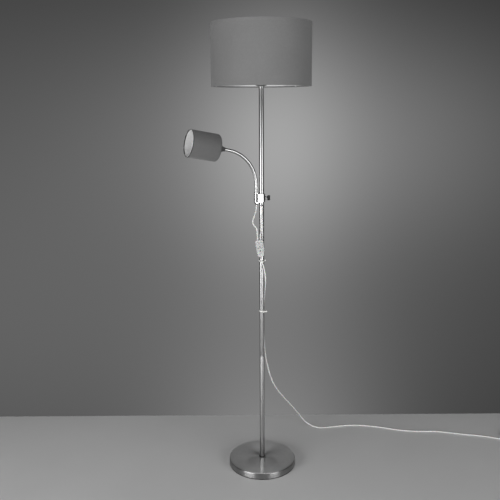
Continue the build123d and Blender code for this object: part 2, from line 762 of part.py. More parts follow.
def switch_cover():
    """Front shell with a window for each rocker and the screw's post."""
    shell = switch_slab(SWITCH_FACE, 0) - switch_slab(SWITCH_FACE + SWITCH_WALL, 1, SWITCH_WALL)
    reach = ROCKER_L / 2 + ROCKER_END_T * sin(radians(ROCKER_TILT)) + ROCKER_ROOM
    for across in ROCKER_SPOTS.values():
        half = ROCKER_W / 2 + ROCKER_ROOM
        low, high = ROCKER_UP - reach, ROCKER_UP + reach
        shell -= block(across - half, across + half, SWITCH_FACE - 1, SWITCH_FACE + 4, low, high)
    post_y = SWITCH_FACE + SWITCH_WALL
    shell += block(-BOSS_R - 1, BOSS_R + 1, post_y, 0, BOSS_Z - BOSS_R, BOSS_Z + BOSS_R)
    shell -= screw_way(bore_out(SCREW_SHANK_R, SWITCH_FACE - 1, 1, 12))
    shell -= screw_way(bore_out(SCREW_HEAD_R, SWITCH_FACE - 1, SWITCH_FACE + SCREW_HEAD_T, 12))
    for hole in entry_holes():
        shell -= hole
    return shell


def rocker(across):
    """Rocker with a hollowed face, a bore for the pin, tilted as it rests."""
    half = ROCKER_L / 2
    profile = Polyline(
        (-ROCKER_END_T, -half),
        (-ROCKER_MIDDLE_T, 0),
        (-ROCKER_END_T, half),
        (-ROCKER_END_T / 3, half),
        (ROCKER_BACK_T, half / 2),
        (ROCKER_BACK_T, -half / 2),
        (-ROCKER_END_T / 3, -half),
        close=True,
    )
    side = Plane.YZ.offset(-ROCKER_W / 2) * make_face(profile)
    body = extrude(side, ROCKER_W) - Rot(0, 90, 0) * Cylinder(PIVOT_R + RUNNING, 2 * ROCKER_W)
    return Pos(across, PIVOT_Y, ROCKER_UP) * Rot(-ROCKER_TILT, 0, 0) * body


def switch_contacts():
    """Brass blades on the back shell, two under each rocker."""
    floor = SWITCH_D / 2 - SWITCH_WALL
    tip = PIVOT_Y + ROCKER_BACK_T + 2.2
    blades = []
    for across in ROCKER_SPOTS.values():
        for up in (-BLADE_UP, BLADE_UP):
            z = ROCKER_UP + up
            foot = block(across - 2, across + 2, floor - 0.8, floor, z - 2.5, z + 2.5)
            blades.append(foot + block(across - 2, across + 2, tip, floor, z - 0.4, z + 0.4))
    return blades


def cord_clips():
    """Bridges that hold the leads inside the housing, one at each end."""
    floor = SWITCH_D / 2 - SWITCH_WALL
    clips = []
    end = SWITCH_H / 2 - CLIP_IN
    for half, z, diameter in ((UPPER_CLIP_HALF, end, LEAD_D), (LOWER_CLIP_HALF, -end, MAINS_D)):
        front = -diameter / 2 - 0.1
        low, high = z - 1.5, z + 1.5
        legs = [block(x, x + CLIP_T, front, floor, low, high) for x in (-half, half - CLIP_T)]
        clips.append(block(-half, half, front - 2, front, low, high) + legs[0] + legs[1])
    return clips


def switch_screw():
    """Screw that closes the housing."""
    head_end = SWITCH_FACE + SCREW_HEAD_T
    shank_end = SWITCH_D / 2 - SWITCH_WALL - 2
    return screw_way(
        turned(
            (0, SWITCH_FACE),
            (SCREW_HEAD_R, SWITCH_FACE),
            (SCREW_HEAD_R, head_end),
            (SCREW_SHANK_R, head_end),
            (SCREW_SHANK_R, shank_end),
            (0, shank_end),
            sides=12,
        )
    )


def switch_pieces():
    """Shells, rockers, pin, contacts, clips and screws."""
    save("switch_base", SWITCH * switch_base())
    save("switch_cover", SWITCH * switch_cover())
    for name, across in ROCKER_SPOTS.items():
        save(name, SWITCH * rocker(across))
    pin_l = ROCKER_PITCH + ROCKER_W + 0.6 + 2 * RIB_T
    pin = Pos(0, PIVOT_Y, ROCKER_UP) * Rot(0, 90, 0) * Cylinder(PIVOT_R, pin_l)
    save("switch_pivot", SWITCH * pin)
    save("switch_contacts", *[SWITCH * blade for blade in switch_contacts()])
    save("switch_cord_clips", *[SWITCH * clip for clip in cord_clips()])
    save("switch_screw", SWITCH * switch_screw())


# ---------------------------------------------------------------- leads, right, back and up of the pole
READING_LEAD = [
    (-18.73, -8.34, 1028.0),
    (-18.73, -8.34, 1014.0),
    (-21.5, -12.5, 1001.0),
    (-27.5, -19.0, 986.0),
    (-33.5, -25.0, 971.0),
    (-30.5, -28.5, 957.0),
    (-18.5, -28.5, 945.0),
    (-16.4, -25.5, 928.0),
    (-16.3, -21.5, 909.4),
    (-14.2, -21.5, 891.1),
]
UPPER_LEAD = [
    (0.0, -6.5, 1024.0),
    (0.0, -15.8, 1024.0),
    (1.0, -13.0, 1008.0),
    (1.4, -12.6, 984.0),
    (1.2, -13.4, 957.0),
    (-1.5, -18.0, 932.0),
    (-6.0, -21.5, 910.6),
    (-3.9, -21.5, 892.2),
]
POLE_LEAD = [
    (0.0, -6.5, 1024.0),
    (0.0, 1.6, 1024.0),
    (0.3, 1.2, 1041.0),
    (0.0, 0.0, 1070.0),
    (0.0, 0.0, 1446.0),
]
MAINS_LEAD = [
    (-3.97, -21.5, 847.9),
    (-2.1, -21.5, 832.0),
    (0.8, -17.4, 818.0),
    (9.3, -11.0, 787.0),
    (13.4, -4.0, 761.0),
    (13.6, 4.4, 730.0),
    (9.8, 11.2, 691.0),
    (6.1, 13.6, 625.0),
    (5.4, 13.9, 582.0),
    (7.4, 13.2, 520.0),
    (10.0, 15.6, 468.0),
    (14.5, 26.0, 430.0),
    (22.0, 49.0, 386.0),
    (33.0, 75.0, 336.0),
    (50.0, 107.0, 279.0),
    (79.0, 151.0, 221.0),
    (117.0, 206.0, 155.0),
    (150.0, 253.0, 97.0),
    (172.0, 284.0, 56.0),
    (188.0, 300.0, 28.0),
    (205.0, 305.0, 10.5),
    (222.0, 298.0, 3.2),
    (239.0, 285.5, 2.8),
    (260.0, 278.5, 2.8),
    (294.0, 281.5, 2.8),
    (341.0, 294.0, 2.8),
    (401.0, 302.0, 2.8),
    (464.0, 294.5, 2.8),
    (522.0, 279.5, 2.8),
    (580.0, 257.0, 2.8),
    (638.0, 242.5, 2.8),
    (697.0, 239.5, 2.8),
    (752.0, 239.5, 2.8),
    (806.0, 225.5, 2.8),
    (864.0, 210.0, 2.8),
    (916.0, 200.0, 2.8),
    (956.0, 188.5, 2.8),
]

# Coil of the length past the last point above: spiral in, climb over itself and out again
COIL_R = 32.0  # middle of the outer turn
COIL_CENTRE = (1050.0, 186.0)
COIL_START_DEG = 248.0
COIL_TURNS = 2
COIL_RUN_IN = 38.0  # straight run up to the coil
COIL_STEP = 5.9  # from turn to turn and from layer to layer
COIL_TAIL = 24.0
COIL_STATIONS = 2  # in each turn
FLOOR_Z = 2.8  # middle of the lead on the floor
PLUG_AXIS_Z = PLUG_T / 2


def coil_point(turns):
    """Middle of the lead after a number of turns: spiral in, climb and spiral out."""
    half = COIL_TURNS / 2
    away = abs(turns - half)
    # Within a quarter turn of the middle the spiral reverses along a parabola.
    inward = half - away if away > 0.25 else half - 0.125 - 2 * away * away
    radius = COIL_R - COIL_STEP * inward
    share = min(max((turns - half + 0.25) / 0.5, 0.0), 1.0)
    z = FLOOR_Z + COIL_STEP * share * share * (3 - 2 * share)
    angle = radians(COIL_START_DEG + 360 * turns)
    return Vector(COIL_CENTRE[0] + radius * cos(angle), COIL_CENTRE[1] + radius * sin(angle), z)


def coil_heading(turns):
    """Direction of the lead after a number of turns."""
    step = 1e-4
    return (coil_point(turns + step) - coil_point(turns - step)).normalized()


def biarc(p0, t0, p1, t1):
    """Two arcs that leave p0 along t0, meet smoothly and reach p1 along t1."""
    v, t = p1 - p0, t0 + t1
    bend = 2 * (1 - t0.dot(t1))
    if bend < 1e-9:
        reach = v.dot(v) / (4 * v.dot(t1))
    else:
        reach = (-v.dot(t) + sqrt(v.dot(t) ** 2 + bend * v.dot(v))) / bend
    middle = (p0 + t0 * reach + p1 - t1 * reach) * 0.5
    first = TangentArc(p0, middle, tangent=t0)
    second = TangentArc(middle, p1, tangent=first % 1)
    return [first, second]


def coil():
    """The put-away turns as one unbroken lead, from the floor run to the plug's strain relief."""
    stations = [index / COIL_STATIONS for index in range(COIL_TURNS * COIL_STATIONS + 1)]
    places = [coil_point(turns) for turns in stations]
    headings = [coil_heading(turns) for turns in stations]
    begin, headings[0] = coil_start()
    edges = [Line(begin, places[0])]
    for index in range(len(places) - 1):
        edges += biarc(places[index], headings[index], places[index + 1], headings[index + 1])
    last = Vector(headings[-1].X, headings[-1].Y, 0).normalized()
    tail = places[-1] + last * COIL_TAIL
    tail = Vector(tail.X, tail.Y, PLUG_AXIS_Z)
    edges += biarc(places[-1], last, tail, last)
    edges.append(Line(tail, tail + last * MAINS_D))
    path = Wire([edge.edge() for edge in edges])
    start = Plane(origin=begin, z_dir=headings[0])
    solid = sweep(start * section(MAINS_D, COIL_SIDES), path)
    print("mains_coil length", round(path.length, 1), "least gap", round(coil_gap(), 2))
    area = section(MAINS_D, COIL_SIDES).area
    print("mains_coil volume over section times length", round(solid.volume / (area * path.length), 3))
    return solid, tail + last * MAINS_D, last


def coil_start():
    """Place and flat heading where the floor run ends and the coil's first straight begins."""
    heading = coil_heading(0)
    flat = Vector(heading.X, heading.Y, 0).normalized()
    return coil_point(0) - flat * MAINS_D, flat


def coil_gap():
    """Least gap between the coil's own turns, measured on points."""
    count = 60 * COIL_TURNS
    points = [coil_point(COIL_TURNS * index / count) for index in range(count + 1)]
    pairs = [(a - b).length for i, a in enumerate(points) for b in points[i + 30 :]]
    return min(pairs) - MAINS_D


# ---------------------------------------------------------------- plug and ties
def plug_pieces(start, heading):
    """Strain relief, body and pins, lying flat on the floor past the coil."""
    place = Location(Plane(origin=start, x_dir=heading, z_dir=(0, 0, 1)))
    taper = turned((0, 0), (RELIEF_SMALL_R, 0), (RELIEF_LARGE_R, RELIEF_L), (0, RELIEF_L), sides=12)
    relief = Rot(0, 90, 0) * taper
    back, front = PLUG_BACK_W / 2, PLUG_W / 2
    x0, x1, x2 = RELIEF_L, RELIEF_L + 0.55 * PLUG_LEN, RELIEF_L + PLUG_LEN
    corners = [(x0, -back), (x1, -front), (x2, -front), (x2, front), (x1, front), (x0, back)]
    outline = make_face(Polyline(*corners, close=True))
    body = Pos(0, 0, -PLUG_T / 2) * extrude(outline, PLUG_T)
    body = chamfer(body.edges().filter_by(Axis.Z, reverse=True), PLUG_CHAMFER)
    pin = turned((0, 0), (PIN_R, 0), (PIN_R, PIN_L - 1), (PIN_R / 2, PIN_L), (0, PIN_L), sides=12)
    pin = Rot(0, 90, 0) * pin
    pins = [Pos(x2, side, 0) * pin for side in (-PIN_PITCH / 2, PIN_PITCH / 2)]
    save("plug_strain_relief", FRONT * place * relief)
    save("plug_body", FRONT * place * body)
    save("plug_pins", *[FRONT * place * pin for pin in pins])


TIES = ((MAINS_LEAD[2], 25.0), (MAINS_LEAD[7], -65.0))
TIE_T = 1.2
TIE_H = 4.6
TIE_ROOM = 1.2
TIE_HEAD = 5.0
TIE_TAIL = 14.0
TIE_STEP = 30  # degrees between the corners of a band


def band_outline(offset, grow):
    """Outline round the pole and a lead at offset along +X, with a corner every few degrees."""
    pole, lead_r = POLE_R + 0.1 + grow, MAINS_D / 2 + TIE_ROOM + grow
    lean = round(degrees(acos((pole - lead_r) / offset)) / TIE_STEP) * TIE_STEP
    near = [radians(a) for a in range(lean, 361 - lean, TIE_STEP)]
    far = [radians(a) for a in range(-lean, lean + 1, TIE_STEP)]
    ends = [(pole * cos(a), pole * sin(a)) for a in near]
    ends += [(offset + lead_r * cos(a), lead_r * sin(a)) for a in far]
    return make_face(Polyline(*ends, close=True))


def cable_tie(spot, head_turn):
    """Band round pole and lead at one height, with its head and a cut tail."""
    x, y, z = spot
    offset = hypot(x, y)
    ring = band_outline(offset, TIE_T) - band_outline(offset, 0.35)
    band = Rot(0, 0, degrees(atan2(y, x))) * extrude(ring, TIE_H)
    edge = POLE_R + TIE_T
    head = block(edge - 0.6, edge + TIE_HEAD, -2.5, 2.5, -0.7, TIE_H + 0.7)
    tail = block(edge + TIE_HEAD - 1.4, edge + TIE_HEAD, 2.0, TIE_TAIL, 0.2, TIE_H - 0.2)
    turned_head = Rot(0, 0, head_turn) * (head + tail)
    return Pos(0, 0, z - TIE_H / 2) * (band + turned_head)


def main():
    """Build and write every piece."""
    os.makedirs("parts", exist_ok=True)
    save("base_pad", turned((0, 0), (PAD_R, 0), (PAD_R, PAD_T), (0, PAD_T), sides=64))
    save("base_cover", base_cover())
    save("base_weight", base_weight())
    pole_pieces()
    pipe_pieces()
    save("pole_grommet", pole_grommet())
    save("lampholder", lampholder())
    save("main_bulb", main_bulb())
    shade_pieces()
    clamp_pieces()
    arm_pieces()
    reading_pieces()
    switch_pieces()
    save("reading_lead", lead("reading_lead", positions(seen_from_front(READING_LEAD)), LEAD_D))
    save("upper_lead", lead("upper_lead", positions(seen_from_front(UPPER_LEAD)), LEAD_D))
    save("pole_lead", lead("pole_lead", positions(seen_from_front(POLE_LEAD)), LEAD_D))
    start, heading = coil_start()
    run_in = start - heading * COIL_RUN_IN
    print("run in to the coil", tuple(run_in), tuple(start))
    floor_run = MAINS_LEAD + [tuple(run_in), tuple(start)]
    save("mains_lead", lead("mains_lead", positions(seen_from_front(floor_run)), MAINS_D))
    turns, plug_start, heading = coil()
    save("mains_coil", FRONT * turns)
    plug_pieces(plug_start, heading)
    save("cable_ties", *[FRONT * cable_tie(spot, turn) for spot, turn in TIES])


main()
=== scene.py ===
"""Floor lamp with a drum shade and a reading light on a gooseneck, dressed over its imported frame."""

import logging
import math
from dataclasses import dataclass
from enum import Enum
from typing import Sequence

import bmesh
import bpy
import numpy as np
from mathutils import Matrix, Vector


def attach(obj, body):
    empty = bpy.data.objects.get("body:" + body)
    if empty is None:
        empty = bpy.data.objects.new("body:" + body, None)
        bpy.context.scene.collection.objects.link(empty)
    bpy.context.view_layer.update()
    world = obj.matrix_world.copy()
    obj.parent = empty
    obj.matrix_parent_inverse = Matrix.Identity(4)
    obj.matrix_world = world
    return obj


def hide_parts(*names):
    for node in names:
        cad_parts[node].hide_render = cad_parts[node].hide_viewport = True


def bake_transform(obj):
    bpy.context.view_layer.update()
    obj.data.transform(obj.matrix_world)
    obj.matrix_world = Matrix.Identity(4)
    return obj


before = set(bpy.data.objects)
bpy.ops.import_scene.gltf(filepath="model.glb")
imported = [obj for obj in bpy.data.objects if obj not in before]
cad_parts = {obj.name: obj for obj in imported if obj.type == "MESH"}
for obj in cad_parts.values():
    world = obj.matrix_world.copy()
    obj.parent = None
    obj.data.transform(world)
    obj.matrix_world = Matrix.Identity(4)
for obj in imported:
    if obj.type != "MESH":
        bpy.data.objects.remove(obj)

LOG = logging.getLogger("lamp")
MM = 0.001
FRONT_YAW = math.radians(-24.0)

Point = tuple[float, float, float]
Grid = np.ndarray
Socket = bpy.types.NodeSocket


# ---------------------------------------------------------------- places
def row(x: float, y: float, z: float, unit: float = MM) -> Point:
    """Turn a place in the lamp's front frame into the row's frame, in metres.

    Args:
        x: Distance to the right of the pole's axis.
        y: Distance behind the pole's axis.
        z: Height above the floor.
        unit: The unit that they are in, in metres.

    Returns:
        The same place turned by the front's yaw about the vertical.
    """
    c, s = math.cos(FRONT_YAW), math.sin(FRONT_YAW)
    return ((c * x - s * y) * unit, (s * x + c * y) * unit, z * unit)


TO_RIGHT, TO_FRONT = row(1.0, 0.0, 0.0, 1.0), row(0.0, -1.0, 0.0, 1.0)
ARM_X = -20.5


def axis_frame(origin: Sequence[float], along: Sequence[float]) -> np.ndarray:
    """Work out a turned frame whose Z runs along a direction.

    Args:
        origin: Where the frame stands, in metres.
        along: Direction of its Z.

    Returns:
        A 4 by 4 matrix; its X lies as near to the row's Y as it can.
    """
    z = np.asarray(along, float)
    z = z / np.linalg.norm(z)
    x = np.cross((0.0, 1.0, 0.0), z)
    x = x / np.linalg.norm(x)
    matrix = np.eye(4)
    matrix[:3, 0], matrix[:3, 1], matrix[:3, 2] = x, np.cross(z, x), z
    matrix[:3, 3] = origin
    return matrix


# ---------------------------------------------------------------- surfaces
def linked(name: str, data: bpy.types.ID) -> bpy.types.Object:
    """Make an object of some data and put it in the scene."""
    piece = bpy.data.objects.new(name, data)
    bpy.context.scene.collection.objects.link(piece)
    return piece


def grid_mesh(
    name: str, points: Grid, closed: tuple[bool, bool], uv: Grid, merge: float = 1e-6
) -> bpy.types.Object:
    """Make an object from a grid of points, one quad between each four neighbours.

    Args:
        name: Name of the object.
        points: Array of rows, columns and three coordinates.
        closed: Whether the last row joins the first, and the last column the first.
        uv: Array of rows plus one, columns plus one and two, for the corners of the quads.
        merge: Distance within which points become one, which closes seams and poles.

    Returns:
        The new object, smooth shaded, with its normals outwards.
    """
    rows, columns = points.shape[:2]
    r = np.arange(rows if closed[0] else rows - 1)
    c = np.arange(columns if closed[1] else columns - 1)
    i, j = np.meshgrid(r, c, indexing="ij")
    i2, j2 = (i + 1) % rows, (j + 1) % columns
    quads = np.stack([i * columns + j, i2 * columns + j, i2 * columns + j2, i * columns + j2], axis=-1)
    mesh = bpy.data.meshes.new(name)
    mesh.from_pydata(points.reshape(-1, 3), [], quads.reshape(-1, 4))
    corners = np.stack([uv[i, j], uv[i + 1, j], uv[i + 1, j + 1], uv[i, j + 1]], axis=-2)
    layer = mesh.uv_layers.new(name="surface")
    layer.data.foreach_set("uv", corners.reshape(-1).astype(np.float32))
    tidy = bmesh.new()
    tidy.from_mesh(mesh)
    bmesh.ops.remove_doubles(tidy, verts=tidy.verts, dist=merge)
    bmesh.ops.recalc_face_normals(tidy, faces=tidy.faces)
    tidy.to_mesh(mesh)
    tidy.free()
    mesh.polygons.foreach_set("use_smooth", np.ones(len(mesh.polygons), bool))
    mesh.update()
    return linked(name, mesh)


def rounded(corners: Sequence[tuple[float, float, float]], steps: int = 4) -> Grid:
    """Work out a profile whose corners are arcs.

    Each corner's arc touches both of its sides at the same distance from the corner, which is the
    radius divided by the tangent of half the angle between the sides.

    Args:
        corners: Radius from the axis, height, and radius of the corner's arc, in millimetres.
        steps: Points along an arc, less one.

    Returns:
        Array of points, radius and height, in millimetres, without the closing point.
    """
    count = len(corners)
    points: list[np.ndarray] = []
    for index, (x, z, radius) in enumerate(corners):
        here = np.array((x, z))
        before = np.array(corners[index - 1][:2]) - here
        after = np.array(corners[(index + 1) % count][:2]) - here
        if radius <= 0:
            points.append(here[None])
            continue
        u, v = before / np.linalg.norm(before), after / np.linalg.norm(after)
        half = math.acos(float(np.clip(u @ v, -1, 1))) / 2
        middle = here + (u + v) / np.linalg.norm(u + v) * radius / math.sin(half)
        first, last = here + u * radius / math.tan(half), here + v * radius / math.tan(half)
        share = np.linspace(0, 1, steps + 1)[:, None]
        ray = (first - middle) * (1 - share) + (last - middle) * share
        points.append(middle + ray / np.linalg.norm(ray, axis=1)[:, None] * radius)
    return np.concatenate(points)


def turned(
    name: str, profile: Grid, sides: int, matrix: np.ndarray | None = None, closed: bool = True
) -> bpy.types.Object:
    """Carry a profile of radius and height, in millimetres, round the vertical axis.

    A point at angle a is the radius times the cosine and sine of a, at the profile's height.

    Args:
        name: Name of the object.
        profile: Points of radius and height.
        sides: Steps round the axis.
        matrix: Where the shape goes, in metres; the row's own axis where there is none.
        closed: Whether the profile's last point joins its first.

    Returns:
        The turned object, with arc length round and along the profile as its UV, in metres.
    """
    profile = np.asarray(profile, float)
    angle = np.arange(sides) * 2 * math.pi / sides
    x = profile[:, None, 0] * np.cos(angle)[None]
    y = profile[:, None, 0] * np.sin(angle)[None]
    z = np.broadcast_to(profile[:, None, 1], x.shape)
    grid = np.stack([x, y, z], axis=-1) * MM
    if matrix is not None:
        grid = grid @ matrix[:3, :3].T + matrix[:3, 3]
    loop = np.concatenate([profile, profile[:1]])
    along = np.concatenate([[0], np.cumsum(np.linalg.norm(np.diff(loop, axis=0), axis=1))]) * MM
    reach = profile[:, 0].max() * MM
    u, v = np.meshgrid(np.arange(sides + 1) * 2 * math.pi * reach / sides, along)
    return grid_mesh(name, grid, (closed, True), np.stack([u, v], axis=-1))


def tube_along(name: str, path: Grid, radius: Grid, sides: int, across: Sequence[float]) -> bpy.types.Object:
    """Carry a circle along a path, closed at both ends by a point.

    A point of the ring is the path's point, plus the radius times the cosine of its angle along one
    cross direction and the sine along the other; the first cross direction is the path's heading
    crossed with a fixed direction that the path never runs along.

    Args:
        name: Name of the object.
        path: Points of the centre line, in metres.
        radius: Radius at each point, in metres.
        sides: Steps round the ring.
        across: The fixed direction.

    Returns:
        The tube, with arc length round and along it as its UV, in metres.
    """
    heading = np.gradient(path, axis=0)
    heading /= np.linalg.norm(heading, axis=1)[:, None]
    side = np.cross(heading, np.asarray(across, float))
    side /= np.linalg.norm(side, axis=1)[:, None]
    other = np.cross(heading, side)
    angle = np.arange(sides) * 2 * math.pi / sides
    ring = side[:, None] * np.cos(angle)[None, :, None] + other[:, None] * np.sin(angle)[None, :, None]
    grid = path[:, None] + ring * radius[:, None, None]
    ends = [np.broadcast_to(path[end], (1, sides, 3)) for end in (0, -1)]
    grid = np.concatenate([ends[0], grid, ends[1]])
    along = np.concatenate([[0], np.cumsum(np.linalg.norm(np.diff(path, axis=0), axis=1))])
    along = np.concatenate([along[:1], along, along[-1:]])
    u, v = np.meshgrid(np.arange(sides + 1) * 2 * math.pi * radius.max() / sides, along)
    return grid_mesh(name, grid, (False, True), np.stack([u, v], axis=-1), 1e-7)


def shade_by_angle(piece: bpy.types.Object, degrees: float) -> None:
    """Shade smooth across edges flatter than an angle, and keep the sharper ones sharp."""
    mesh = piece.data
    mesh.polygons.foreach_set("use_smooth", np.ones(len(mesh.polygons), bool))
    mesh.set_sharp_from_angle(angle=math.radians(degrees))


def copy_of(node: str, name: str, bevel: float, segments: int, limit: float) -> bpy.types.Object:
    """Copy a CAD node's mesh, merge its loose triangles and round its edges.

    Args:
        node: Name of the CAD node.
        name: Name of the new piece.
        bevel: Width of the rounding in millimetres.
        segments: Steps across the rounding.
        limit: Least angle between faces, in degrees, at an edge that is rounded.

    Returns:
        The new piece, which stands where the node is.
    """
    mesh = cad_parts[node].data.copy()
    mesh.name = name
    tidy = bmesh.new()
    tidy.from_mesh(mesh)
    bmesh.ops.remove_doubles(tidy, verts=tidy.verts, dist=2e-6)
    bmesh.ops.dissolve_limit(tidy, angle_limit=math.radians(1.0), verts=tidy.verts, edges=tidy.edges)
    tidy.to_mesh(mesh)
    tidy.free()
    mesh.materials.clear()
    piece = linked(name, mesh)
    edge = piece.modifiers.new("rounded edges", "BEVEL")
    edge.width = bevel * MM
    edge.segments = segments
    edge.limit_method = "ANGLE"
    edge.angle_limit = math.radians(limit)
    edge.harden_normals = True
    shade_by_angle(piece, 35.0)
    return piece


def nurbs(name: str, points: Sequence[Point]) -> bpy.types.Curve:
    """Make an open NURBS curve of order 3 that starts and ends at its end points, in metres."""
    curve = bpy.data.curves.new(name, "CURVE")
    curve.dimensions = "3D"
    curve.resolution_u = 12
    spline = curve.splines.new("NURBS")
    spline.points.add(len(points) - 1)
    weighted = np.concatenate([np.asarray(points, float), np.ones((len(points), 1))], axis=1)
    spline.points.foreach_set("co", weighted.reshape(-1).astype(np.float32))
    spline.order_u = 3
    spline.use_endpoint_u = True
    return curve


def line_of(points: Sequence[Point]) -> Grid:
    """Points that a NURBS curve with these control points runs through, in metres."""
    curve = nurbs("route", points)
    holder = linked("route", curve)
    bpy.context.view_layer.update()
    mesh = bpy.data.meshes.new_from_object(holder)
    found = np.empty(len(mesh.vertices) * 3, np.float32)
    mesh.vertices.foreach_get("co", found)
    bpy.data.objects.remove(holder)
    bpy.data.meshes.remove(mesh)
    bpy.data.curves.remove(curve)
    return found.reshape(-1, 3).astype(float)


def face_vectors(piece: bpy.types.Object, kind: str) -> Grid:
    """Normal or centre of every face of a piece, one row for each."""
    mesh = piece.data
    values = np.empty(len(mesh.polygons) * 3, np.float32)
    mesh.polygons.foreach_get(kind, values)
    return values.reshape(-1, 3)


# ---------------------------------------------------------------- shader graphs
class Graph:
    """Short ways to add and join the nodes of one tree; a value is a plain one or another node's output."""

    def __init__(self, tree: bpy.types.NodeTree) -> None:
        """Keep the tree."""
        self.tree = tree

    def node(self, kind: str, **values: object) -> bpy.types.Node:
        """Add a node of a kind and set some of its properties."""
        node = self.tree.nodes.new(kind)
        for key, value in values.items():
            setattr(node, key, value)
        return node

    def feed(self, socket: Socket, value: object) -> None:
        """Join an output to a socket, or set the socket where the value is a plain one."""
        if isinstance(value, Socket):
            self.tree.links.new(value, socket)
        else:
            socket.default_value = value

    def filled(self, kind: str, *values: object, **settings: object) -> bpy.types.Node:
        """Add a node and feed its first inputs in order."""
        node = self.node(kind, **settings)
        for socket, value in zip(node.inputs, values):
            self.feed(socket, value)
        return node

    def maths(self, operation: str, *values: object, clamp: bool = False) -> Socket:
        """Result of a Math node, kept from 0 to 1 where clamp says so."""
        return self.filled("ShaderNodeMath", *values, operation=operation, use_clamp=clamp).outputs[0]

    def times(self, a: object, b: object) -> Socket:
        """Product of two values."""
        return self.maths("MULTIPLY", a, b)

    def plus(self, a: object, b: object) -> Socket:
        """Sum of two values."""
        return self.maths("ADD", a, b)

    def noise(self, vector: object, scale: object, detail: float = 3.0, roughness: float = 0.5) -> Socket:
        """Value of a Noise Texture, from 0 to 1; its scale is in features per metre."""
        node = self.node("ShaderNodeTexNoise")
        entries = {"Vector": vector, "Scale": scale, "Detail": detail, "Roughness": roughness}
        for label, entry in entries.items():
            self.feed(node.inputs[label], entry)
        return node.outputs[0]

    def span(self, value: object, low: float, high: float, to_low: float = 0.0, to_high: float = 1.0) -> Socket:
        """Carry a value from one span to another, kept inside it."""
        return self.filled("ShaderNodeMapRange", value, low, high, to_low, to_high).outputs[0]

    def mix(self, share: object, a: object, b: object) -> Socket:
        """Mix of two colours by a share of the second."""
        node = self.node("ShaderNodeMix", data_type="RGBA")
        for index, entry in ((0, share), (6, a), (7, b)):
            self.feed(node.inputs[index], entry)
        return node.outputs[2]

    def shaders(self, share: object, a: bpy.types.Node, b: bpy.types.Node) -> bpy.types.Node:
        """Mix of two shaders by a share of the second."""
        return self.filled("ShaderNodeMixShader", share, a.outputs[0], b.outputs[0])

    def parts(self, vector: object) -> tuple[Socket, Socket, Socket]:
        """X, Y and Z of a vector."""
        outputs = self.filled("ShaderNodeSeparateXYZ", vector).outputs
        return outputs[0], outputs[1], outputs[2]

    def joined(self, x: object, y: object, z: object) -> Socket:
        """Vector of three values."""
        return self.filled("ShaderNodeCombineXYZ", x, y, z).outputs[0]

    def group(self, tree: bpy.types.NodeTree, **values: object) -> bpy.types.Node:
        """Place a node group and feed its inputs by name, with an underscore for each space."""
        node = self.node("ShaderNodeGroup", node_tree=tree)
        for key, value in values.items():
            self.feed(node.inputs[key.replace("_", " ")], value)
        return node


FLOAT, VECTOR, COLOUR = "NodeSocketFloat", "NodeSocketVector", "NodeSocketColor"


class EffectGroup:
    """A shader node group being built: its tree, its graph, and its inputs and outputs by name."""

    def __init__(self, name: str, inputs: dict[str, str], outputs: dict[str, str]) -> None:
        """Make the group with a socket type for each input and output."""
        self.tree = bpy.data.node_groups.new(name, "ShaderNodeTree")
        for direction, labels in (("INPUT", inputs), ("OUTPUT", outputs)):
            for label, kind in labels.items():
                self.tree.interface.new_socket(label, in_out=direction, socket_type=kind)
        self.graph = Graph(self.tree)
        self.given = self.graph.node("NodeGroupInput").outputs
        self.result = self.graph.node("NodeGroupOutput").inputs

    def finish(self, **outputs: Socket) -> bpy.types.NodeTree:
        """Feed the group's outputs by name, and give back its tree."""
        for key, value in outputs.items():
            self.graph.feed(self.result[key.replace("_", " ")], value)
        return self.tree


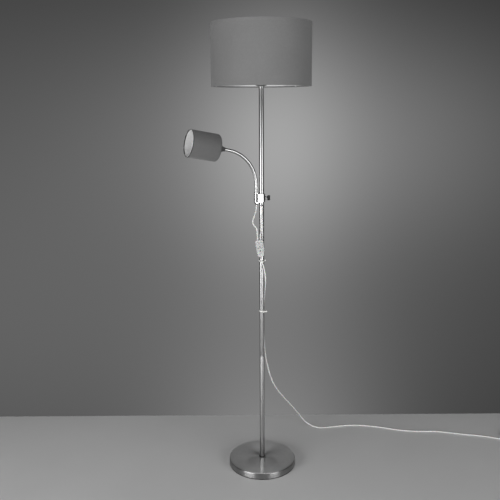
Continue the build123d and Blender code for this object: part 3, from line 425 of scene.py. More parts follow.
class Effects:
    """The effects that several finishes share, each a node group built once."""

    def __init__(self) -> None:
        """Build every group."""
        self.grain = self._grain()
        self.dust = self._dust()
        self.weave = self._weave()
        self.brushing = self._brushing()

    def _grain(self) -> bpy.types.NodeTree:
        """Moulded or cast grain: two sizes of noise, as a mask and a height."""
        made = EffectGroup("fine grain", {"Vector": VECTOR, "Scale": FLOAT}, {"Mask": FLOAT, "Height": FLOAT})
        graph, given = made.graph, made.given
        coarse = graph.noise(given["Vector"], graph.times(given["Scale"], 0.12), 2.0)
        fine = graph.noise(given["Vector"], given["Scale"], 3.0, 0.6)
        return made.finish(Mask=graph.span(coarse, 0.35, 0.65), Height=fine)

    def _dust(self) -> bpy.types.NodeTree:
        """Dust on faces that look up, and wear on edges that stand out."""
        made = EffectGroup(
            "dust and edge wear",
            {
                "Vector": VECTOR, "Color": COLOUR, "Dust Color": COLOUR, "Wear Color": COLOUR,
                "Dust": FLOAT, "Wear": FLOAT,
            },
            {"Color": COLOUR, "Dust Mask": FLOAT, "Wear Mask": FLOAT},
        )
        graph, given = made.graph, made.given
        geometry = graph.node("ShaderNodeNewGeometry").outputs
        _, _, up = graph.parts(geometry["Normal"])
        patches = graph.span(graph.noise(given["Vector"], 60.0, 4.0, 0.65), 0.4, 0.75)
        lying = graph.times(graph.span(up, 0.3, 1.0), patches)
        dust = graph.maths("MULTIPLY", lying, given["Dust"], clamp=True)
        proud = graph.span(geometry["Pointiness"], 0.52, 0.62)
        wear = graph.maths("MULTIPLY", proud, given["Wear"], clamp=True)
        worn = graph.mix(wear, given["Color"], given["Wear Color"])
        return made.finish(Color=graph.mix(dust, worn, given["Dust Color"]), Dust_Mask=dust, Wear_Mask=wear)

    def _weave(self) -> bpy.types.NodeTree:
        """Plain weave on a UV in metres: warp and weft waves that pass over each other in turn, with slubs."""
        made = EffectGroup(
            "plain weave",
            {"UV": VECTOR, "Threads": FLOAT, "Unevenness": FLOAT},
            {"Height": FLOAT, "Gap": FLOAT, "Slub": FLOAT},
        )
        graph, given = made.graph, made.given
        x, y, _ = graph.parts(given["UV"])
        wander = graph.noise(given["UV"], 90.0, 2.0)
        shift = graph.times(graph.maths("SUBTRACT", wander, 0.5), given["Unevenness"])
        u, v = (graph.plus(graph.times(along, given["Threads"]), shift) for along in (x, y))
        warp, weft = (graph.maths("ABSOLUTE", graph.maths("SINE", graph.times(t, math.pi))) for t in (u, v))
        cells = graph.plus(graph.maths("FLOOR", u), graph.maths("FLOOR", v))
        over = graph.maths("ABSOLUTE", graph.maths("MODULO", cells, 2.0))
        height = graph.plus(graph.times(warp, over), graph.times(weft, graph.maths("SUBTRACT", 1.0, over)))
        # The cloth paints this gap mask darker, as painted shade between threads.
        gap = graph.maths("SUBTRACT", 1.0, graph.times(warp, weft), clamp=True)
        few, many = 60.0, 1500.0
        along_x = graph.joined(graph.times(x, few), graph.times(y, many), 0.0)
        along_y = graph.joined(graph.times(x, many), graph.times(y, few), 4.0)
        slubs = graph.maths("MAXIMUM", graph.noise(along_x, 1.0, 2.0), graph.noise(along_y, 1.0, 2.0))
        return made.finish(Height=height, Gap=gap, Slub=graph.span(slubs, 0.55, 0.8))

    def _brushing(self) -> bpy.types.NodeTree:
        """Lines left by a brush: noise read along one coordinate at two spacings."""
        made = EffectGroup("brushed lines", {"Across": FLOAT, "Lines": FLOAT}, {"Mask": FLOAT, "Height": FLOAT})
        graph, given = made.graph, made.given
        place = graph.joined(graph.times(given["Across"], given["Lines"]), 0.0, 0.0)
        wide = graph.noise(place, 0.08, 2.0, 0.5)
        return made.finish(Mask=graph.span(wide, 0.35, 0.65), Height=graph.noise(place, 1.0, 4.0, 0.7))


def grey(value: float, tint: Point = (1.0, 1.0, 1.0)) -> tuple[float, float, float, float]:
    """Linear colour of a grey that is given from 0 to 1 as a screen shows it, times a tint."""
    linear = ((value + 0.055) / 1.055) ** 2.4
    return (linear * tint[0], linear * tint[1], linear * tint[2], 1.0)


class Paint:
    """A material being built: its graph and its Principled BSDF."""

    def __init__(self, name: str, effects: Effects | None = None) -> None:
        """Start the material."""
        self.material = bpy.data.materials.new(name)
        self.material.use_nodes = True
        self.graph = Graph(self.material.node_tree)
        self.shader = self.material.node_tree.nodes["Principled BSDF"]
        self.effects = effects
        self.coordinates = self.graph.node("ShaderNodeTexCoord").outputs
        self.place = self.coordinates["Object"]

    def set(self, **values: float) -> None:
        """Set the shader's sockets by name, with an underscore for each space."""
        for key, value in values.items():
            self.shader.inputs[key.replace("_", " ")].default_value = value

    def skin(self, colour: object, roughness: object, height: Socket, depth: float, strength: float) -> None:
        """Feed the colour, the roughness, and a normal bumped by a height over a depth in metres."""
        bump = self.graph.node("ShaderNodeBump")
        bump.inputs["Strength"].default_value = strength
        bump.inputs["Distance"].default_value = depth
        self.graph.feed(bump.inputs["Height"], height)
        entries = {"Base Color": colour, "Roughness": roughness, "Normal": bump.outputs[0]}
        for label, entry in entries.items():
            self.graph.feed(self.shader.inputs[label], entry)

    def aged(self, tone: Socket, worn: tuple, dust_grey: float, dust: float, wear: float) -> tuple[Socket, Socket]:
        """Lay dust and edge wear over a tone.

        Args:
            tone: The clean colour.
            worn: Colour of worn edges.
            dust_grey: Grey of the dust.
            dust: How much dust there is.
            wear: How much wear there is.

        Returns:
            The aged colour and the dust's mask.
        """
        group = self.graph.group(
            self.effects.dust, Vector=self.place, Color=tone, Dust_Color=grey(dust_grey), Wear_Color=worn,
            Dust=dust, Wear=wear,
        )
        return group.outputs["Color"], group.outputs["Dust Mask"]


class Lay(Enum):
    """Which way a metal was brushed."""

    RINGS_ABOUT_AXIS = "rings about the pole's axis, on a flat top"
    RINGS_UP_THE_AXIS = "rings one above the other, on a tube or a rim"


@dataclass(frozen=True)
class BrushedMetal:
    """Nickel plate with brushed lines, which change its roughness, its tone and its height."""

    name: str
    shade: float
    roughness: float
    lay: Lay
    lines: float
    anisotropy: float

    def material(self, effects: Effects) -> bpy.types.Material:
        """Build the material from the shared groups."""
        paint = Paint(self.name, effects)
        graph = paint.graph
        x, y, across = graph.parts(paint.place)
        if self.lay is Lay.RINGS_ABOUT_AXIS:
            across = graph.maths("SQRT", graph.plus(graph.times(x, x), graph.times(y, y)))
        lines = graph.group(effects.brushing, Across=across, Lines=self.lines).outputs
        tone = graph.mix(lines["Height"], grey(self.shade * 0.93), grey(self.shade * 1.04))
        tone = graph.mix(graph.times(lines["Mask"], 0.25), tone, grey(self.shade * 0.9))
        colour, dust = paint.aged(tone, grey(self.shade * 1.1), 0.62, 0.10, 0.35)
        rough = graph.span(lines["Height"], 0.3, 0.7, self.roughness * 0.88, self.roughness * 1.15)
        paint.skin(colour, graph.plus(rough, graph.times(dust, 0.6)), lines["Height"], 0.00002, 0.5)
        paint.set(Metallic=1.0, Anisotropic=self.anisotropy, Anisotropic_Rotation=0.25)
        return paint.material


@dataclass(frozen=True)
class Ageing:
    """How the finishes of one kind of material vary and wear, as factors of their own values."""

    dark: float
    light: float
    worn: float
    worn_lift: float
    wear: float
    dust_grey: float
    rough_high: float
    dust_rough: float
    bump: float


METAL = Ageing(0.95, 1.03, 1.10, 0.00, 0.5, 0.60, 1.20, 0.4, 0.6)
PLASTIC = Ageing(0.94, 1.05, 1.25, 0.04, 0.4, 0.62, 1.15, 0.3, 0.5)


@dataclass(frozen=True)
class Grained:
    """Metal, plastic or rubber with fine grain, a cloudy tone, dust and worn edges."""

    name: str
    shade: float
    roughness: float
    ageing: Ageing = METAL
    tint: Point = (1.0, 1.0, 1.0)
    grain: float = 1500.0
    depth: float = 0.00002
    dust: float = 0.15
    coat: float = 0.0
    clear: float = 0.0
    milk: float = 0.0

    def material(self, effects: Effects) -> bpy.types.Material:
        """Build the material from the shared groups."""
        paint = Paint(self.name, effects)
        graph, age = paint.graph, self.ageing
        grain = graph.group(effects.grain, Vector=paint.place, Scale=self.grain).outputs
        dark, light, worn = (
            grey(min(1.0, tone), self.tint)
            for tone in (self.shade * age.dark, self.shade * age.light, self.shade * age.worn + age.worn_lift)
        )
        tone = graph.mix(grain["Mask"], dark, light)
        colour, dust = paint.aged(tone, worn, age.dust_grey, self.dust, age.wear)
        rough = graph.span(grain["Mask"], 0.0, 1.0, self.roughness * 0.85, self.roughness * age.rough_high)
        rough = graph.plus(rough, graph.times(dust, age.dust_rough))
        paint.skin(colour, rough, grain["Height"], self.depth, age.bump)
        if age is METAL:
            paint.set(Metallic=1.0)
        else:
            paint.set(
                Coat_Weight=self.coat, Coat_Roughness=0.15, Transmission_Weight=self.clear,
                Subsurface_Weight=self.milk, Subsurface_Scale=0.003, IOR=1.49,
            )
        return paint.material


@dataclass(frozen=True)
class Cloth:
    """Woven cotton read on the piece's own UV in metres: lighter on the threads' crowns and darker in the hollows
    and gaps, as painted light and shade, with slubs and a woven height.
    """

    name: str
    warp: float
    weft: float
    threads: float
    depth: float
    sheen: float

    def material(self, effects: Effects) -> bpy.types.Material:
        """Build the material from the shared groups."""
        paint = Paint(self.name, effects)
        graph = paint.graph
        weave = graph.group(
            effects.weave, UV=paint.coordinates["UV"], Threads=self.threads, Unevenness=0.9
        ).outputs
        # Painted light and shade: the warp tone on the weave's crowns, the weft tone in its hollows, and a darker
        # tone in the gaps between threads.
        tone = graph.mix(weave["Height"], grey(self.weft), grey(self.warp))
        tone = graph.mix(graph.times(weave["Gap"], 0.30), tone, grey(self.weft * 0.55))
        tone = graph.mix(graph.times(weave["Slub"], 0.28), tone, grey(self.warp * 1.22))
        clouds = graph.span(graph.noise(paint.place, 9.0, 3.0), 0.3, 0.7)
        tone = graph.mix(graph.times(clouds, 0.10), tone, grey(self.warp * 1.12))
        colour, _ = paint.aged(tone, grey(self.warp * 1.2), 0.6, 0.15, 0.2)
        rough = graph.span(weave["Height"], 0.0, 1.0, 0.96, 0.84)
        paint.skin(colour, rough, weave["Height"], self.depth, 0.7)
        paint.set(Sheen_Weight=self.sheen, Sheen_Roughness=0.5, Specular_IOR_Level=0.25)
        return paint.material


@dataclass(frozen=True)
class OpalGlass:
    """White-coated glass of an unlit bulb: a faint cloud, a glossy skin and light that goes under it."""

    name: str
    shade: float

    def material(self, effects: Effects) -> bpy.types.Material:
        """Build the material from the shared groups."""
        paint = Paint(self.name, effects)
        graph = paint.graph
        grain = graph.group(effects.grain, Vector=paint.place, Scale=300.0).outputs
        tone = graph.mix(grain["Mask"], grey(self.shade * 0.97), grey(min(1.0, self.shade * 1.02)))
        graph.feed(paint.shader.inputs["Base Color"], tone)
        graph.feed(paint.shader.inputs["Roughness"], graph.span(grain["Height"], 0.3, 0.7, 0.16, 0.24))
        paint.set(Subsurface_Weight=0.25, Subsurface_Scale=0.005, Coat_Weight=0.4, Coat_Roughness=0.05)
        return paint.material


def plastic(name: str, shade: float, roughness: float, **values: object) -> Grained:
    """A moulded finish, with a moulding's usual grain and dust where the values don't say otherwise."""
    usual = {"grain": 2500.0, "depth": 0.00003, "dust": 0.25}
    return Grained(name, shade, roughness, PLASTIC, **{**usual, **values})


AXIS, UP = Lay.RINGS_ABOUT_AXIS, Lay.RINGS_UP_THE_AXIS

# Slot and recipe of each finish; a slot's first finish is for the nodes that keep their own mesh.
FINISHES = {
    "pole": ("brushed_nickel", BrushedMetal("brushed nickel pole", 0.69, 0.28, UP, 5000.0, 0.6)),
    # The cover's top and rim are one nickel in two tones: the top painted lighter and the rim darker, as painted
    # light and shade.
    "base_top_painted_light": ("brushed_nickel", BrushedMetal("brushed nickel base painted light", 0.90, 0.33, AXIS, 5200.0, 0.75)),
    "base_rim_painted_shade": ("brushed_nickel", BrushedMetal("brushed nickel rim painted shade", 0.64, 0.36, UP, 6000.0, 0.85)),
    "chrome": ("chrome", Grained("bright chrome", 0.80, 0.08)),
    "hose": ("chrome", Grained("satin chrome hose", 0.72, 0.2)),
    "cast": ("cast_weight", Grained("cast iron", 0.34, 0.55, grain=700.0, depth=0.0002)),
    "zinc": ("zinc_steel", Grained("zinc plated steel", 0.66, 0.32, tint=(0.97, 0.99, 1.0))),
    "steel": ("steel_pad", Grained("steel pad", 0.58, 0.38)),
    "brass": ("brass", Grained("brass", 0.78, 0.24, tint=(1.0, 0.80, 0.48))),
    "rubber": ("black_rubber", plastic("black rubber", 0.07, 0.8, grain=3500.0, depth=0.00005, dust=0.06)),
    "black": ("black_plastic", plastic("black plastic", 0.05, 0.3, coat=0.35, dust=0.06)),
    "cone": ("black_plastic", plastic("dark grey lacquer", 0.30, 0.5)),
    "holder": ("dark_holder", plastic("dark lampholder", 0.17, 0.42)),
    "wire": ("white_wire", plastic("white enamelled wire", 0.86, 0.32, coat=0.4)),
    "vinyl": (
        "clear_vinyl",
        plastic(
            "clear vinyl lead", 0.93, 0.22, tint=(1.0, 1.0, 0.985), depth=0.00001, coat=0.6, milk=0.1, dust=0.08
        ),
    ),
    "housing": (
        "clear_housing",
        plastic(
            "milky clear housing", 0.82, 0.24, tint=(1.0, 1.0, 0.99), depth=0.00001, coat=0.5, clear=0.12,
            milk=0.1, dust=0.08,
        ),
    ),
    "nylon": ("tie_nylon", plastic("natural nylon", 0.93, 0.35, tint=(1.0, 1.0, 0.97), depth=0.00001, dust=0.08)),
    "cloth": ("grey_cloth", Cloth("grey woven cotton", 0.525, 0.465, 1050.0, 0.00010, 0.15)),
    # The reading shade's cloth is the drum's cloth painted darker: painted shade for the head's dimmer light.
    "small_cloth_painted_shade": ("grey_cloth", Cloth("grey woven cotton with painted shade", 0.43, 0.37, 1050.0, 0.00010, 0.15)),
    # The mouth band is the shade's own cloth painted much darker: painted shade on the rim.
    "hem": ("grey_cloth", Cloth("dark hem", 0.17, 0.14, 1050.0, 0.00008, 0.1)),
    "lining": ("grey_cloth", Cloth("pale lining", 0.93, 0.90, 1600.0, 0.00004, 0.0)),
    "opal": ("opal", OpalGlass("opal glass", 0.90)),
}


class Wardrobe:
    """Every finish of the lamp, built once, and the ways to put them on."""

    def __init__(self) -> None:
        """Build every material from the shared groups."""
        effects = Effects()
        self.materials = {key: recipe.material(effects) for key, (_, recipe) in FINISHES.items()}

    def dress(self, piece: bpy.types.Object, finish: str, body: str, *nodes: str) -> bpy.types.Object:
        """Give a piece its finish and its body, and let it stand for CAD nodes.

        Args:
            piece: The piece, in place.
            finish: Key of its finish.
            body: The CAD body that it rides on; an empty name attaches it to none.
            *nodes: CAD nodes that it replaces.

        Returns:
            The piece.
        """
        if not piece.data.materials:
            piece.data.materials.append(self.materials[finish])
        if nodes:
            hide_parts(*nodes)
        if body:
            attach(piece, body)
        LOG.info("%s made of %s", piece.name, finish)
        return piece

    def turn(
        self, name: str, profile: Grid, sides: int, finish: str, body: str, *nodes: str,
        place: np.ndarray | None = None, closed: bool = True, sharp: float = 0.0,
    ) -> bpy.types.Object:
        """Carry a profile round its axis, as turned does, and dress the piece.

        Args:
            name: Name of the piece.
            profile: Points of radius and height, in millimetres.
            sides: Steps round the axis.
            finish: Key of its finish.
            body: The CAD body that it rides on.
            *nodes: CAD nodes that it replaces.
            place: Where it goes; the row's own axis where there is none.
            closed: Whether the profile's last point joins its first.
            sharp: Least angle, in degrees, of an edge that stays sharp; none stays so where it is 0.

        Returns:
            The piece.
        """
        piece = turned(name, profile, sides, place, closed)
        if sharp:
            shade_by_angle(piece, sharp)
        return self.dress(piece, finish, body, *nodes)

    def copied(
        self, node: str, name: str, finish: str, body: str, bevel: float, segments: int, limit: float
    ) -> bpy.types.Object:
        """Copy a CAD node with rounded edges, as copy_of does, and dress the copy in its place."""
        return self.dress(copy_of(node, name, bevel, segments, limit), finish, body, node)

    def split(self, piece: bpy.types.Object, first: str, second: str, chosen: Grid) -> None:
        """Give a piece two finishes, the second on the chosen faces."""
        for finish in (first, second):
            piece.data.materials.append(self.materials[finish])
        piece.data.polygons.foreach_set("material_index", chosen.astype(np.int32))

    def dress_kept_nodes(self) -> None:
        """Give every CAD node that keeps its mesh the first finish of its slot."""
        firsts: dict[str, str] = {}
        for key, (slot, _) in FINISHES.items():
            firsts.setdefault(slot, key)
        for name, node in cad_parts.items():
            if node.hide_render:
                continue
            slot = node.data.materials[0].name.split(".")[0]
            for holder in node.material_slots:
                holder.material = self.materials[firsts[slot]]
            LOG.info("%s kept, made of %s", name, slot)


# ---------------------------------------------------------------- camera, room and light
@dataclass(frozen=True)
class Camera:
    """The photograph's camera, found from the object's known sizes; places are in the front frame's metres."""

    place: Point = (-0.043177, -2.388881, 1.378866)
    down: float = 12.2917
    roll: float = -0.37320
    focal: float = 47.8816
    sensor: float = 36.0
    near: float = 0.05
    far: float = 30.0

    def build(self) -> None:
        """Set the camera up in the front frame, turned with it into the row's frame."""
        data = bpy.data.cameras.new("camera")
        data.lens, data.sensor_width, data.sensor_fit = self.focal, self.sensor, "HORIZONTAL"
        data.clip_start, data.clip_end = self.near, self.far
        camera = linked("camera", data)
        turn = Matrix.Rotation(FRONT_YAW, 4, "Z")
        tilt = Matrix.Rotation(math.radians(90.0 - self.down), 4, "X")
        roll = Matrix.Rotation(math.radians(self.roll), 4, "Z")
        camera.matrix_world = turn @ Matrix.Translation(self.place) @ tilt @ roll
        bpy.context.scene.camera = camera


@dataclass(frozen=True)
class Glow:
    """One broad patch of painted light on the wall: its strength, middle and reach, in the front frame's metres.
    """

    strength: float
    x: float
    z: float
    reach_x: float
    reach_z: float


@dataclass(frozen=True)
class SoftBox:
    """An area lamp in the front frame, in metres: place, what it faces, width and height, and watts."""

    name: str
    place: Point
    target: Point
    size: tuple[float, float]
    power: float

    def build(self) -> None:
        """Add the lamp to the scene."""
        data = bpy.data.lights.new(self.name, "AREA")
        data.shape = "RECTANGLE"
        data.size, data.size_y = self.size
        data.energy = self.power
        here, there = (Vector(row(*place, unit=1.0)) for place in (self.place, self.target))
        lamp = linked(self.name, data)
        lamp.location = here
        lamp.rotation_euler = (there - here).to_track_quat("-Z", "Y").to_euler()


@dataclass(frozen=True)
class Studio:
    """Pale floor, grey wall with a soft painted glow behind the lamp, and soft light; lengths are in metres."""

    wall_y: float = 0.41
    glows: tuple[Glow, ...] = (
        Glow(0.166, 0.063, 1.233, 0.221, 0.361),
        Glow(0.113, 0.288, 1.246, 0.594, 0.309),
        Glow(0.124, -0.934, 0.580, 1.813, 1.021),
    )
    foot_glow: float = 0.128
    foot_reach: float = 0.60
    foot_x: float = 0.055
    foot_width: float = 0.321
    room_half: float = 4.0
    room_height: float = 3.6
    lamps: tuple[SoftBox, ...] = (
        SoftBox("left box", (-1.85, -1.95, 0.80), (0.0, 0.0, 0.85), (1.5, 1.4), 44.0),
        SoftBox("right box", (1.66, -2.15, 0.80), (0.0, 0.0, 0.85), (1.4, 1.4), 30.0),
        SoftBox("floor fill", (0.0, -1.4, 2.9), (0.0, -0.9, 0.0), (1.6, 1.0), 12.0),
    )

    def build(self) -> None:
        """Make the floor, the wall, the world and the lamps."""
        self._floor()
        self._wall()
        self._world()
        for lamp in self.lamps:
            lamp.build()

    def _plane(self, name: str, places: Sequence[Point], material: bpy.types.Material) -> bpy.types.Object:
        """Make a stage piece of one face whose corners are given in the front frame, in metres."""
        mesh = bpy.data.meshes.new(name)
        mesh.from_pydata([row(*place, unit=1.0) for place in places], [], [tuple(range(len(places)))])
        mesh.materials.append(material)
        stage = linked(name, mesh)
        return stage

    def _floor(self) -> None:
        """Pale floor with a slight gloss and a faint unevenness."""
        half = self.room_half
        paint = Paint("pale floor")
        graph = paint.graph
        cloud = graph.span(graph.noise(paint.place, 1.6, 3.0), 0.3, 0.7)
        graph.feed(paint.shader.inputs["Base Color"], graph.mix(cloud, grey(0.82), grey(0.85)))
        rough = graph.span(graph.noise(paint.place, 14.0), 0.3, 0.7, 0.34, 0.40)
        graph.feed(paint.shader.inputs["Roughness"], rough)
        paint.set(Specular_IOR_Level=0.35)
        places = [(x * half, y * half, 0.0) for x, y in ((-1, -1), (1, -1), (1, 1), (-1, 1))]
        self._plane("floor", places, paint.material)

    def _glow(self, graph: Graph, x: Socket, z: Socket) -> Socket:
        """Painted brightness of the wall at a place: a Gaussian for each glow, and painted light that fades up
        from the foot.

        Args:
            graph: The wall's graph.
            x: Place to the right, in metres.
            z: Height, in metres.

        Returns:
            The linear brightness.
        """

        def bell(value: Socket, middle: float, reach: float) -> Socket:
            away = graph.maths("DIVIDE", graph.maths("SUBTRACT", value, middle), reach)
            return graph.maths("EXPONENT", graph.times(graph.times(away, away), -0.5))

        fade = graph.maths("EXPONENT", graph.maths("DIVIDE", z, -self.foot_reach))
        total = graph.times(graph.times(fade, bell(x, self.foot_x, self.foot_width)), self.foot_glow)
        for glow in self.glows:
            both = graph.times(bell(x, glow.x, glow.reach_x), bell(z, glow.z, glow.reach_z))
            total = graph.plus(total, graph.times(both, glow.strength))
        return total

    def _wall(self) -> None:
        """Wall that shows its painted glow, an emission that lights nothing, to the camera and to reflections, and
        is clear from behind.
        """
        material = bpy.data.materials.new("grey wall")
        material.use_nodes = True
        material.node_tree.nodes.clear()
        graph = Graph(material.node_tree)
        place = graph.node("ShaderNodeTexCoord").outputs["Object"]
        to_right = graph.filled("ShaderNodeVectorMath", place, TO_RIGHT, operation="DOT_PRODUCT")
        _, _, height = graph.parts(place)
        glow = graph.filled("ShaderNodeEmission", self._glow(graph, to_right.outputs["Value"], height))
        plain = graph.filled("ShaderNodeBsdfDiffuse", grey(0.45))
        clear = graph.node("ShaderNodeBsdfTransparent")
        rays = graph.node("ShaderNodeLightPath").outputs
        seen = graph.maths("MAXIMUM", rays["Is Camera Ray"], rays["Is Glossy Ray"])
        seen = graph.maths("MAXIMUM", seen, rays["Is Transmission Ray"])
        behind = graph.node("ShaderNodeNewGeometry").outputs["Backfacing"]
        surface = graph.shaders(behind, graph.shaders(seen, plain, glow), clear)
        graph.feed(graph.node("ShaderNodeOutputMaterial").inputs["Surface"], surface.outputs[0])
        half, y, top = self.room_half, self.wall_y, self.room_height
        places = [(-half, y, 0.0), (half, y, 0.0), (half, y, top), (-half, y, top)]
        self._plane("wall", places, material).visible_shadow = False

    def _world(self) -> None:
        """Grey surroundings: even light for the shadows, darker where a metal reflects them."""
        world = bpy.data.worlds.new("studio")
        world.use_nodes = True
        graph = Graph(world.node_tree)
        backdrop = world.node_tree.nodes["Background"].inputs
        glossy = graph.node("ShaderNodeLightPath").outputs["Is Glossy Ray"]
        graph.feed(backdrop["Color"], graph.mix(glossy, grey(0.30), grey(0.26)))
        backdrop["Strength"].default_value = 1.0
        bpy.context.scene.world = world


# ---------------------------------------------------------------- base and pole
@dataclass(frozen=True)
class Base:
    """Round foot: rubber pad, cast weight and spun nickel cover."""

    radius: float = 128.0
    height: float = 27.0
    wall: float = 1.2
    shoulder: float = 4.6
    rim: float = 3.6
    pipe: float = 5.05
    pad_bore: float = 20.0
    pad_radius: float = 127.0
    pad_height: float = 3.5
    ring_bore: float = 9.05
    ring_radius: float = 11.5
    ring_height: float = 4.0
    upright_below: float = 0.7

    def build(self, wardrobe: Wardrobe) -> None:
        """Build the foot's visible pieces and dress them."""
        inner, roof = self.radius - self.wall, self.height - self.wall
        profile = rounded(
            [
                (self.pipe, self.height, 0.0),
                (self.pipe, roof, 0.0),
                (inner, roof, self.shoulder - self.wall),
                (inner, self.rim, 0.0),
                (self.radius, self.rim, 0.4),
                (self.radius, self.height, self.shoulder),
            ],
            8,
        )
        cover = turned("base_shell", profile, 192)
        # Upright faces take the darker rim tone and the rest the lighter top tone: painted shade and light on one
        # piece.
        upright = np.abs(face_vectors(cover, "normal")[:, 2]) < self.upright_below
        wardrobe.split(cover, "base_top_painted_light", "base_rim_painted_shade", upright)
        wardrobe.dress(cover, "base_top_painted_light", "root", "base_cover")
        pad = [
            (self.pad_bore, 0.0, 0.0),
            (self.pad_radius, 0.0, 0.5),
            (self.pad_radius, self.pad_height, 0.5),
            (self.pad_bore, self.pad_height, 0.0),
        ]
        wardrobe.turn("base_foot_pad", rounded(pad), 128, "rubber", "root", "base_pad")
        top = self.height + self.ring_height
        ring = [
            (self.ring_bore, self.height, 0.0),
            (self.ring_radius, self.height, 0.3),
            (self.ring_radius, top, 1.4),
            (self.ring_bore, top, 0.4),
        ]
        wardrobe.turn("foot_collar", rounded(ring), 64, "black", "root", "foot_ring")


@dataclass(frozen=True)
class Pole:
    """Three flush nickel tubes, one above the other."""

    radius: float = 9.0
    wall: float = 1.0
    seams: tuple[float, float, float, float] = (27.0, 446.0, 878.0, 1436.0)
    edge: float = 0.35
    hole_z: float = 1024.0
    hole_radius: float = 4.0
    hole_reach: float = 14.0

    def build(self, wardrobe: Wardrobe) -> None:
        """Build the tubes with a small rounded edge at each joint, and dress them."""
        inner = self.radius - self.wall
        for index, node in enumerate(("pole_lower", "pole_middle", "pole_upper")):
            low, high = self.seams[index : index + 2]
            outside = [(self.radius, low, self.edge), (self.radius, high, self.edge)]
            piece = turned(node + "_tube", rounded([(inner, low, 0.0), *outside, (inner, high, 0.0)], 3), 64)
            if low < self.hole_z < high:
                self._drill(piece)
            wardrobe.dress(piece, "pole", "root", node)
        wardrobe.copied("pole_grommet", "pole_bush", "rubber", "root", 0.25, 3, 25.0)

    def _drill(self, piece: bpy.types.Object) -> None:
        """Cut the hole for the lead through the front of the tube's wall, then drop the cutter."""
        r, reach = self.hole_radius, self.hole_reach
        place = axis_frame(row(0.0, 0.0, self.hole_z), TO_FRONT)
        cutter = turned("cutter", [(0.0, 0.0), (r, 0.0), (r, reach), (0.0, reach)], 32, place, closed=False)
        cut = piece.modifiers.new("hole", "BOOLEAN")
        cut.object = cutter
        cut.solver = "EXACT"
        bpy.context.view_layer.update()
        evaluated = piece.evaluated_get(bpy.context.evaluated_depsgraph_get())
        mesh = bpy.data.meshes.new_from_object(evaluated)
        piece.modifiers.clear()
        piece.data = mesh
        shade_by_angle(piece, 30.0)
        bpy.data.objects.remove(cutter)


